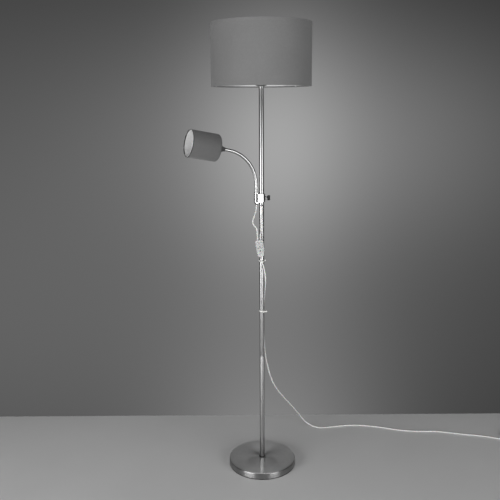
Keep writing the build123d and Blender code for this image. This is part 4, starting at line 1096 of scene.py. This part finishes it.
# ---------------------------------------------------------------- main light
@dataclass(frozen=True)
class MainShade:
    """Drum of woven cotton over a pale lining, on two white wire rings."""

    radius: float = 175.0
    low: float = 1442.0
    high: float = 1653.0
    wall: float = 1.0
    band: float = 9.0
    proud: float = 0.35
    slack: float = 0.02
    wire: float = 1.5
    arm_degrees: tuple[float, float, float] = (17.0, 137.0, 257.0)
    arm_start: float = 21.0
    hub_z: float = 1482.0
    hub_height: float = 1.6
    crank_run: float = 20.0
    crank_drop: float = 12.5
    seam_degrees: float = 66.0
    seam_half: float = 5.0
    seam_lift: float = 0.32
    sides: int = 192

    def build(self, wardrobe: Wardrobe) -> None:
        """Build the drum, its bands, its seam, its rings and its arms, and dress them."""
        inner = self.radius - self.wall
        self._layer("main_shade_cloth", self.radius, self.low, self.high, "cloth", wardrobe, "shade_drum")
        self._layer("main_shade_lining", inner, self.high, self.low, "lining", wardrobe)
        for name, profile in (("lower", self._rolled_hem()), ("upper", self._hem())):
            wardrobe.turn("main_shade_" + name + "_hem", profile, self.sides, "cloth", "root")
        self._seam(wardrobe)
        self._frame(wardrobe)

    def _layer(
        self, name: str, radius: float, start: float, end: float, finish: str, wardrobe: Wardrobe, *nodes: str
    ) -> None:
        """Make one layer of the drum as a closed thin wall between its face and the middle of the cloth."""
        heights = np.linspace(start, end, 24)
        middle = self.radius - self.wall / 2
        reach = np.repeat((radius, middle), 24)
        profile = np.stack([reach, np.concatenate([heights, heights[::-1]])], axis=-1)
        wardrobe.turn(name, profile, self.sides, finish, "root", *nodes)

    def _hem(self) -> Grid:
        """Profile of the turned-in band round the upper edge: it wraps the drum's wall from outside to inside."""
        out, inside = self.radius + self.proud, self.radius - self.wall - self.proud
        face, back = self.radius - self.slack, self.radius - self.wall + self.slack
        end, edge, fold = self.high - self.band, self.high - self.slack, self.high - 0.8
        return rounded(
            [
                (out, edge, 0.6), (out, end, 0.2), (face, end, 0.0), (face, fold, 0.0),
                (back, fold, 0.0), (back, end, 0.0), (inside, end, 0.2), (inside, edge, 0.6),
            ]
        )

    def _rolled_hem(self) -> Grid:
        """Profile of the lower band: up the outside, and rolled inwards round the wire ring."""
        out, cloth, edge = self.radius + self.proud, 0.4, self.low + self.slack
        face, lap = self.radius - self.slack, self.radius - self.wall + self.slack
        ring = self.radius - self.wall - 0.1 - 2 * self.wire
        top, under, over = self.low + self.band, self.low + 0.47, self.low + 0.5 + 2 * self.wire
        return rounded(
            [
                (out, edge, 0.35), (out, top, 0.2), (face, top, 0.0), (face, under, 0.0),
                (ring - 0.03, under, 0.0), (ring - 0.03, over - 0.6, 0.0), (lap - 0.5, over + 1.2, 0.0),
                (lap, over + 1.7, 0.0), (lap - 0.6, over + 1.7, 0.0), (ring - cloth, over - 0.2, 0.6),
                (ring - cloth, edge, 0.35),
            ]
        )

    def _seam(self, wardrobe: Wardrobe) -> None:
        """Glued overlap down the back: a strip that follows the drum, proud by a third of a millimetre."""
        columns, rows = 9, 16
        spread = np.linspace(-self.seam_half, self.seam_half, columns) / self.radius
        angle = math.radians(self.seam_degrees) + spread
        lift = self.seam_lift * np.clip(1.0 - np.abs(np.linspace(-1.0, 1.0, columns)) ** 6, 0.0, 1.0)
        a = np.concatenate([angle, angle[::-1]])
        r = np.concatenate([self.radius + lift, np.full(columns, self.radius - 0.2)])
        z = np.linspace(self.low + 0.6, self.high - 0.6, rows)[:, None]
        shape = (rows, 2 * columns)
        grid = np.stack([np.broadcast_to(part, shape) for part in (r * np.cos(a), r * np.sin(a), z)], axis=-1)
        ends = [np.broadcast_to(grid[end].mean(axis=0), (1, 2 * columns, 3)) for end in (0, -1)]
        grid = np.concatenate([ends[0], grid, ends[1]])
        u, v = np.meshgrid(np.linspace(0.0, 0.012, 2 * columns + 1), np.linspace(0.0, 0.211, rows + 2))
        strip = grid_mesh("main_shade_seam", grid * MM, (False, True), np.stack([u, v], axis=-1))
        shade_by_angle(strip, 50.0)
        wardrobe.dress(strip, "cloth", "root")

    def _frame(self, wardrobe: Wardrobe) -> None:
        """Two wire rings, three cranked arms and the hub, in white enamelled wire."""
        ring_radius = self.radius - self.wall - 0.1 - self.wire
        rings = (
            ("shade_upper_ring", self.high - 0.5 - self.wire, "shade_top_ring"),
            ("shade_lower_ring", self.low + 0.5 + self.wire, "shade_spider"),
        )
        turn = np.arange(16) * 2 * math.pi / 16
        for name, z, node in rings:
            section = np.stack([ring_radius + self.wire * np.cos(turn), z + self.wire * np.sin(turn)], axis=-1)
            wardrobe.turn(name, section, 160, "wire", "root", node)
        low, high = self.hub_z, self.hub_z + self.hub_height
        hub = rounded([(19.2, low, 0.2), (23.0, low, 0.5), (23.0, high, 0.5), (19.2, high, 0.2)])
        wardrobe.turn("shade_hub", hub, 64, "wire", "root")
        for index, degrees in enumerate(self.arm_degrees):
            wardrobe.dress(self._arm(index, math.radians(degrees), ring_radius), "wire", "root")

    def _arm(self, index: int, angle: float, ring_radius: float) -> bpy.types.Object:
        """One arm: from the hub in a straight fall to its crank, then steeply on to the lower ring."""
        count = 80
        reach = np.linspace(self.arm_start, ring_radius, count)
        end = self.low + 0.5 + self.wire
        stops = [self.arm_start, ring_radius - self.crank_run, ring_radius]
        fall = np.interp(reach, stops, [self.hub_z + 0.8, end + self.crank_drop - self.wire, end])
        spread = np.array([1.0, 4.0, 6.0, 4.0, 1.0]) / 16.0
        z = np.convolve(np.pad(fall, 2, mode="edge"), spread, mode="valid")
        path = np.stack([reach * math.cos(angle), reach * math.sin(angle), z], axis=-1) * MM
        return tube_along(f"shade_arm_{index + 1}", path, np.full(count, self.wire * MM), 12, (0.0, 0.0, 1.0))


@dataclass(frozen=True)
class MainLamp:
    """Lampholder with its threaded skirt, the ring nut that holds the hub, and the bulb."""

    foot: float = 1436.0
    cap_height: float = 9.0
    shoulder: float = 1482.0
    top: float = 1502.0
    floor: float = 1462.0
    bore: float = 5.1
    grips: int = 24
    grip_depth: float = 0.022

    def build(self, wardrobe: Wardrobe) -> None:
        """Build the holder, the ring nut and the bulb, and dress them."""
        foot, shoulder = self.foot, self.shoulder
        ribs = [(20.5 if index % 2 else 20.1, foot + 10.0 + index * 1.5) for index in range(24)]
        skirt = [(19.0 if index % 2 else 18.3, shoulder + 0.6 + index * 1.15) for index in range(17)]
        neck = [
            (self.bore, foot), (12.0, foot), (12.0, foot + 1.0), (10.2, foot + 1.4), (10.2, foot + 6.4),
            (19.6, foot + 9.2),
        ]
        mouth = [(18.6, self.top), (13.6, self.top), (13.6, self.floor), (self.bore, self.floor)]
        profile = [*neck, *ribs, (20.5, shoulder - 0.3), (20.2, shoulder), *skirt, *mouth]
        holder = turned("main_lampholder", profile, 64)
        shade_by_angle(holder, 60.0)
        cap = face_vectors(holder, "center")[:, 2] < (foot + self.cap_height) * MM
        wardrobe.split(holder, "holder", "pole", cap)
        wardrobe.dress(holder, "holder", "root", "lampholder")
        wardrobe.dress(self._ring_nut(), "holder", "root", "shade_ring_nut")
        glass = bulb_profile(13.1, self.floor + 0.5, self.top + 2.0, 30.0, self.floor + 110.5)
        wardrobe.turn("main_bulb_glass", glass, 96, "opal", "root", "main_bulb", closed=False)

    def _ring_nut(self) -> bpy.types.Object:
        """Ring whose radius swings with the angle, which makes its finger grips."""
        low, high = self.shoulder + 1.6, self.shoulder + 8.6
        profile = rounded([(19.1, low, 0.0), (23.5, low, 0.7), (23.5, high, 0.9), (19.1, high, 0.4)])
        nut = turned("shade_ring_grip", profile, 144)
        mesh = nut.data
        co = np.empty(len(mesh.vertices) * 3, np.float32)
        mesh.vertices.foreach_get("co", co)
        co = co.reshape(-1, 3)
        radius = np.hypot(co[:, 0], co[:, 1])
        angle = np.arctan2(co[:, 1], co[:, 0])
        grip = np.where(radius > 0.0215, 1.0 - self.grip_depth * (0.5 + 0.5 * np.cos(self.grips * angle)), 1.0)
        co[:, :2] *= grip[:, None]
        mesh.vertices.foreach_set("co", co.reshape(-1))
        mesh.update()
        return nut


def bulb_profile(cap: float, start: float, neck: float, radius: float, tip: float) -> Grid:
    """Work out the outline of a round bulb: cap, smooth neck and a sphere.

    The neck's radius goes from the cap's to the point where the line touches the sphere by a smooth
    step; the dome is a circle about the middle of the sphere.

    Args:
        cap: Radius of the cap.
        start: Height of the cap's end.
        neck: Height where the neck begins.
        radius: Radius of the sphere.
        tip: Height of the sphere's top.

    Returns:
        Array of radius and height, in millimetres, from the axis at the cap to the axis at the tip.
    """
    middle = tip - radius
    touch = math.radians(-28.0)
    end_r, end_z = radius * math.cos(touch), middle + radius * math.sin(touch)
    share = np.linspace(0.0, 1.0, 14)
    swell = share * share * (3 - 2 * share) * 0.45 + share * 0.55
    throat = np.stack([cap + (end_r - cap) * swell, neck + (end_z - neck) * share], axis=-1)
    angle = np.linspace(touch, math.pi / 2, 26)[1:]
    dome = np.stack([radius * np.cos(angle), middle + radius * np.sin(angle)], axis=-1)
    dome[-1, 0] = 0.0
    return np.concatenate([[(0.0, start), (cap - 1.0, start), (cap, start + 1.0)], throat, dome])


# ---------------------------------------------------------------- clamp and gooseneck
def build_clamp(wardrobe: Wardrobe) -> None:
    """Build the clamp: its casting, its thumb knob and its lock nut, with its ferrule and its gland."""
    wardrobe.copied("clamp_block", "clamp_casting", "chrome", "clamp", 0.9, 3, 30.0)
    wardrobe.copied("clamp_knob", "clamp_thumb_knob", "black", "knob", 0.8, 3, 30.0)
    wardrobe.copied("arm_lock_nut", "arm_hexagon_nut", "chrome", "clamp", 0.35, 2, 30.0)
    place = axis_frame((ARM_X * MM, 0.0, 0.0), (0.0, 0.0, 1.0))
    low, high = 1066.0, 1073.0
    ferrule = rounded([(6.05, low, 0.0), (8.2, low, 0.2), (8.2, high, 1.3), (6.05, high, 0.4)])
    wardrobe.turn("arm_collar", ferrule, 64, "chrome", "clamp", "arm_ferrule", place=place)
    low, high = 1028.0, 1033.0
    gland = rounded([(2.7, low, 0.0), (3.4, low, 0.3), (4.4, high, 0.3), (2.7, high, 0.0)])
    wardrobe.turn("cord_gland_taper", gland, 48, "holder", "clamp", "cord_gland", place=place)


@dataclass(frozen=True)
class Gooseneck:
    """Flexible chrome hose from the clamp to the reading light, in four lengths."""

    start_z: float = 1066.0
    bend_z: float = 1096.0
    bend_radius: float = 133.0
    turn_degrees: float = 79.3
    end_run: float = 12.0
    root: float = 20.0
    below: float = 33.0
    radius: float = 6.0
    rib_pitch: float = 2.2
    rib_depth: float = 0.15
    bend_reach: float = 14.0
    sides: int = 40

    @property
    def total(self) -> float:
        """Length along the centre line from the clamp's top to the light, in millimetres."""
        return self.bend_z - self.start_z + self.bend_radius * math.radians(self.turn_degrees) + self.end_run

    def line(self, length: Grid) -> tuple[Grid, Grid]:
        """Work out the centre line: straight up, round one arc, then straight.

        Args:
            length: Lengths along the arm from the clamp's top, in millimetres.

        Returns:
            The points and the headings, in the row's frame, in metres.
        """
        rise = self.bend_z - self.start_z
        full = math.radians(self.turn_degrees)
        turn = np.clip((length - rise) / self.bend_radius, 0.0, full)
        straight = np.minimum(length - rise, 0.0)
        beyond = np.maximum(length - rise - self.bend_radius * full, 0.0)
        x = ARM_X - self.bend_radius * (1 - np.cos(turn)) - beyond * np.sin(turn)
        z = self.bend_z + straight + self.bend_radius * np.sin(turn) + beyond * np.cos(turn)
        points = np.stack([x, np.zeros_like(x), z], axis=-1) * MM
        return points, np.stack([-np.sin(turn), np.zeros_like(turn), np.cos(turn)], axis=-1)

    def build(self, wardrobe: Wardrobe) -> None:
        """Build the four lengths, each cut in the middle of a link."""
        link = (self.total - self.root) / 4
        joints = [self.root + index * link for index in range(4)]
        cuts = [-self.below, *(joint + link / 2 for joint in joints[:3]), self.total]
        nodes = (("arm_root", "arm_lower"), ("arm_middle",), ("arm_upper",), ("arm_end",))
        for index, joint in enumerate(joints):
            piece = self._length(f"hose_{index + 1}", cuts[index], cuts[index + 1])
            wardrobe.dress(piece, "hose", "", *nodes[index])
            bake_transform(piece)

    def _length(self, name: str, start: float, end: float) -> bpy.types.Object:
        """One length between two places along the arm: a tube whose radius dips at every turn of the strip."""
        count = max(8, int((end - start) / self.rib_pitch * 6))
        length = np.linspace(start, end, count)
        wave = np.abs(np.sin(math.pi * length / self.rib_pitch))
        dip = self.rib_depth * (1 - wave) ** 2
        radius = (self.radius - np.where(length > 0, dip, 0.0)) * MM
        return tube_along(name, self.line(length)[0], radius, self.sides, (0.0, 1.0, 0.0))


# ---------------------------------------------------------------- reading light
@dataclass(frozen=True)
class ReadingHead:
    """Small drum on the gooseneck's end, with its cone, its lampholder and its bulb."""

    radius: float = 48.0
    length: float = 107.0
    wall: float = 1.2
    back_round: float = 7.0
    band: float = 2.2
    fold: float = 3.6
    proud: float = 0.3
    slack: float = 0.02
    bore: float = 5.2
    cone_length: float = 28.0
    cone_small: float = 7.2
    cone_large: float = 36.0
    cone_wall: float = 3.2
    cone_boss: float = 7.0
    flare_power: float = 2.2
    sides: int = 96

    def build(self, neck: Gooseneck, wardrobe: Wardrobe) -> None:
        """Build the light along the gooseneck's end and dress it.

        Args:
            neck: The gooseneck, whose end gives the place and the direction.
            wardrobe: The lamp's finishes.
        """
        points, heading = neck.line(np.array([neck.total + self.cone_length]))
        place = axis_frame(points[0], heading[0])
        for name, profile, finish, sides, sharp, nodes in (
            # Its cloth is the drum's cloth painted darker, as painted shade.
            ("reading_shade_cloth", self._layer(0.0, 0.5), "small_cloth_painted_shade", self.sides, 50.0, ("reading_shade",)),
            ("reading_shade_lining", self._layer(0.5, 1.0), "lining", self.sides, 50.0, ()),
            ("reading_shade_hem", self._hem(), "hem", self.sides, 0.0, ()),
            ("head_back_cone", self._trumpet(), "cone", self.sides, 40.0, ("head_cone",)),
            ("reading_lampholder_body", self._holder(), "holder", 48, 60.0, ("reading_lampholder",)),
        ):
            wardrobe.turn(name, profile, sides, finish, "reading_head", *nodes, place=place, sharp=sharp)
        glass = bulb_profile(8.5, 9.7, 44.0, 22.5, 93.7)
        wardrobe.turn(
            "reading_bulb_glass", glass, 72, "opal", "reading_head", "reading_bulb", place=place, closed=False
        )

    def _layer(self, first: float, last: float) -> Grid:
        """Profile of a layer of the drum, from one share of its wall's thickness to another."""
        bounds = []
        for share in (first, last):
            depth = self.wall * share
            bounds.append((self.radius - depth, depth, self.back_round - depth))
        (out, low, bend), (inside, high, tight) = bounds
        return rounded(
            [
                (self.bore, low, 0.0), (out, low, bend), (out, self.length, 0.0),
                (inside, self.length, 0.0), (inside, high, tight), (self.bore, high, 0.0),
            ],
            8,
        )

    def _hem(self) -> Grid:
        """Profile of the band wrapped round the mouth; its dark finish is painted shade."""
        out, face = self.radius + self.proud, self.radius - self.slack
        inner = self.radius - self.wall
        inside, back = inner - self.proud, inner + self.slack
        edge = self.length
        end, lap, fold = edge - self.band, edge - self.fold, edge - 0.8
        return rounded(
            [
                (out, edge, 0.6), (inside, edge, 0.6), (inside, lap, 0.2), (back, lap, 0.0),
                (back, fold, 0.0), (face, fold, 0.0), (face, end, 0.0), (out, end, 0.2),
            ]
        )

    def _trumpet(self) -> Grid:
        """Profile of the cone, whose radius grows slowly at the hose and fast at the drum.

        The share of the way from the small radius to the large one is a power of the share of the
        length, so the cone stays inside the straight one between the same two circles.

        Returns:
            Array of radius and height, in millimetres.
        """
        share = np.linspace(0.0, 1.0, 16)
        flare = self.cone_small + (self.cone_large - self.cone_small) * share**self.flare_power
        height = -self.cone_length * (1.0 - share)
        height[-1] = -0.05
        wall, boss = self.cone_wall, self.cone_boss
        inside = [(self.cone_large - wall, 0.0), (boss + wall, -wall), (boss, -wall), (boss, 0.0), (0.0, 0.0)]
        start = [(0.0, -self.cone_length), (self.cone_small - 0.8, -self.cone_length)]
        return np.concatenate([start, np.stack([flare, height], axis=-1), inside])

    def _holder(self) -> list[tuple[float, float]]:
        """Profile of the ribbed lampholder."""
        foot = [(0.0, 0.0), (5.0, 0.0), (5.0, 1.2), (12.6, 1.2), (13.0, 1.8), (13.0, 20.0)]
        ribs = [(13.0 if index % 2 else 12.5, 22.0 + index * 1.2) for index in range(16)]
        return [*foot, *ribs, (12.6, 42.0), (9.0, 42.0), (9.0, 9.2), (0.0, 9.2)]


# ---------------------------------------------------------------- switch, leads, plug and ties
def build_switch(wardrobe: Wardrobe) -> None:
    """Build the milky clear double rocker switch: both shells and both rockers."""
    for node, name, body, bevel in (
        ("switch_base", "switch_back_shell", "root", 0.5),
        ("switch_cover", "switch_front_shell", "root", 0.5),
        ("rocker_reading", "rocker_reading_key", "rocker_left", 0.35),
        ("rocker_main", "rocker_main_key", "rocker_right", 0.35),
    ):
        wardrobe.copied(node, name, "housing", body, bevel, 2, 30.0)


def build_plug(wardrobe: Wardrobe) -> list[bpy.types.Object]:
    """Build the flat two-pin plug, its ribbed strain relief and its pins, which go with the mains lead."""
    body = wardrobe.copied("plug_body", "plug_moulding", "vinyl", "root", 1.1, 3, 25.0)
    relief = wardrobe.copied("plug_strain_relief", "plug_boot", "vinyl", "root", 0.5, 2, 25.0)
    pins = wardrobe.copied("plug_pins", "plug_contacts", "brass", "root", 0.3, 2, 25.0)
    return [relief, body, pins]


FLOOR_Z = 2.8
# Routes in the front frame, in millimetres: the reading light's lead from the gland down and round into the
# switch, the main light's lead out of the pole's bush and down into the switch, and the mains lead down the
# pole and along the floor to the right.
READING_ROUTE = (
    (-18.73, -8.34, 1028.0), (-18.73, -8.34, 1014.0), (-21.5, -12.5, 1001.0), (-27.5, -19.0, 986.0),
    (-33.5, -25.0, 971.0), (-30.5, -28.5, 957.0), (-18.5, -28.5, 945.0), (-16.4, -25.5, 928.0),
    (-16.3, -21.5, 909.4), (-14.2, -21.5, 891.1),
)
UPPER_ROUTE = (
    (0.0, -6.5, 1024.0), (0.0, -15.8, 1024.0), (1.0, -13.0, 1008.0), (1.4, -12.6, 984.0),
    (1.2, -13.4, 957.0), (-1.5, -18.0, 932.0), (-6.0, -21.5, 910.6), (-3.9, -21.5, 892.2),
)
MAINS_FALL = (
    (-3.97, -21.5, 847.9), (-2.1, -21.5, 832.0), (0.8, -17.4, 818.0), (9.3, -11.0, 787.0),
    (13.4, -4.0, 761.0), (13.6, 4.4, 730.0), (9.8, 11.2, 691.0), (6.1, 13.6, 625.0),
    (5.4, 13.9, 582.0), (7.4, 13.2, 520.0), (10.0, 15.6, 468.0), (14.5, 26.0, 430.0),
    (22.0, 49.0, 386.0), (33.0, 75.0, 336.0), (50.0, 107.0, 279.0), (79.0, 151.0, 221.0),
    (117.0, 206.0, 155.0), (150.0, 253.0, 97.0), (172.0, 284.0, 56.0), (188.0, 300.0, 28.0),
    (205.0, 305.0, 10.5), (222.0, 298.0, 3.2),
)
MAINS_FLOOR = (
    (239.0, 285.5), (260.0, 278.5), (294.0, 281.5), (341.0, 294.0), (401.0, 302.0), (464.0, 294.5),
    (522.0, 279.5), (580.0, 257.0), (638.0, 242.5), (697.0, 239.5), (752.0, 239.5), (806.0, 225.5),
    (864.0, 210.0), (916.0, 200.0), (956.0, 188.5),
)


@dataclass(frozen=True)
class Leads:
    """Clear two-core leads: two into the switch, and the mains lead with its coil."""

    lead: float = 4.6
    mains: float = 5.2
    coil_radius: float = 32.0
    coil_centre: tuple[float, float] = (1050.0, 186.0)
    coil_degrees: float = 248.0
    coil_turns: float = 2.0
    coil_step: float = 5.9
    coil_tail: float = 24.0
    per_turn: int = 14
    plug_z: float = 7.0
    split_z: float = 986.0

    def coil_line(self, turns: Grid) -> Grid:
        """Work out the coil: a spiral in, a climb of one layer and a spiral out above it.

        The radius falls by one step for each turn from either end to the middle, where it reverses
        along a parabola; the height rises by a smooth step over the half turn about the middle.

        Args:
            turns: How many turns along the coil each point is.

        Returns:
            Points in the front frame, in millimetres.
        """
        half = self.coil_turns / 2
        away = np.abs(turns - half)
        inward = np.where(away > 0.25, half - away, half - 0.125 - 2 * away * away)
        radius = self.coil_radius - self.coil_step * inward
        share = np.clip((turns - half + 0.25) / 0.5, 0.0, 1.0)
        z = FLOOR_Z + self.coil_step * share * share * (3 - 2 * share)
        angle = np.radians(self.coil_degrees + 360.0 * turns)
        x = self.coil_centre[0] + radius * np.cos(angle)
        y = self.coil_centre[1] + radius * np.sin(angle)
        return np.stack([x, y, z], axis=-1)

    def coil_points(self) -> list[Grid]:
        """Control points of the coil, set out so that the curve inside them keeps the coil's radius."""
        turns = (np.arange(int(self.per_turn * self.coil_turns)) + 0.5) / self.per_turn
        line = self.coil_line(turns)
        centre = np.array(self.coil_centre)
        line[:, :2] = centre + (line[:, :2] - centre) * (1.0 + (math.pi / self.per_turn) ** 2 / 2)
        ends, step = np.array([0.0, self.coil_turns]), 1e-4
        ahead = self.coil_line(ends + step) - self.coil_line(ends - step)
        ahead[:, 2] = 0.0
        ahead /= np.linalg.norm(ahead, axis=1)[:, None]
        first, last = self.coil_line(ends)
        tail = last + ahead[1] * self.coil_tail
        tail[2] = self.plug_z
        soft = tail - ahead[1] * 7.0
        soft[2] = self.plug_z
        return [first - ahead[0] * self.mains, *line, last + ahead[1] * 4.0, soft, tail + ahead[1] * self.mains]

    def build(self, wardrobe: Wardrobe) -> None:
        self._reading_lead(wardrobe)
        upper = [row(*point) for point in UPPER_ROUTE]
        piece = self._cord("upper_lead_cord", "upper_lead_line", upper, self.lead)
        wardrobe.dress(piece, "vinyl", "root", "upper_lead")
        relief = build_plug(wardrobe)
        route = [*MAINS_FALL, *((x, y, FLOOR_Z) for x, y in MAINS_FLOOR), *self.coil_points()]
        points = [row(*point) for point in route]
        piece = self._cord("mains_cord", "mains_line", points, self.mains)
        wardrobe.dress(piece, "vinyl", "root", "mains_lead", "mains_coil")
        wardrobe.copied("cable_ties", "lead_ties", "nylon", "root", 0.2, 2, 40.0)

    def _cord(self, name: str, line: str, points: Sequence[Point], diameter: float) -> bpy.types.Object:
        """Round cord along a NURBS curve, with its diameter in millimetres."""
        curve = nurbs(line, points)
        curve.bevel_depth = diameter / 2 * MM
        curve.bevel_resolution = 5
        curve.use_fill_caps = True
        return linked(name, curve)

    def _reading_lead(self, wardrobe: Wardrobe) -> None:
        """Lead of the reading light, made as an upper and a lower tube split at one height."""
        line = line_of([row(*point) for point in READING_ROUTE])
        cut = int(np.argmin(np.abs(line[:, 2] - self.split_z * MM)))
        for name, part, far, near, nodes in (
            ("reading_lead_upper", line[: cut + 1], "liner", "clamp", ()),
            ("reading_lead_lower", line[cut:], "root", "liner", ("reading_lead",)),
        ):
            tube = tube_along(name, part, np.full(len(part), self.lead / 2 * MM), 24, TO_RIGHT)
            wardrobe.dress(tube, "vinyl", "", *nodes)
            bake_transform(tube)


# ---------------------------------------------------------------- the rest
def corners(box: tuple[Vector, Vector]) -> list[list[float]]:
    """Lowest and highest corners of a box as plain lists."""
    return [list(map(float, corner)) for corner in box]


def main() -> None:
    """Build the camera, the leads and every piece."""
    logging.basicConfig(level=logging.INFO, format="%(message)s")
    bpy.context.scene.view_settings.view_transform = "Standard"
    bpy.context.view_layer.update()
    wardrobe = Wardrobe()
    Camera().build()
    Leads().build(wardrobe)
    Studio().build()
    for part in (Base(), Pole(), MainShade(), MainLamp()):
        part.build(wardrobe)
    build_clamp(wardrobe)
    neck = Gooseneck()
    neck.build(wardrobe)
    ReadingHead().build(neck, wardrobe)
    build_switch(wardrobe)
    wardrobe.dress_kept_nodes()


if __name__ == "__main__":
    main()
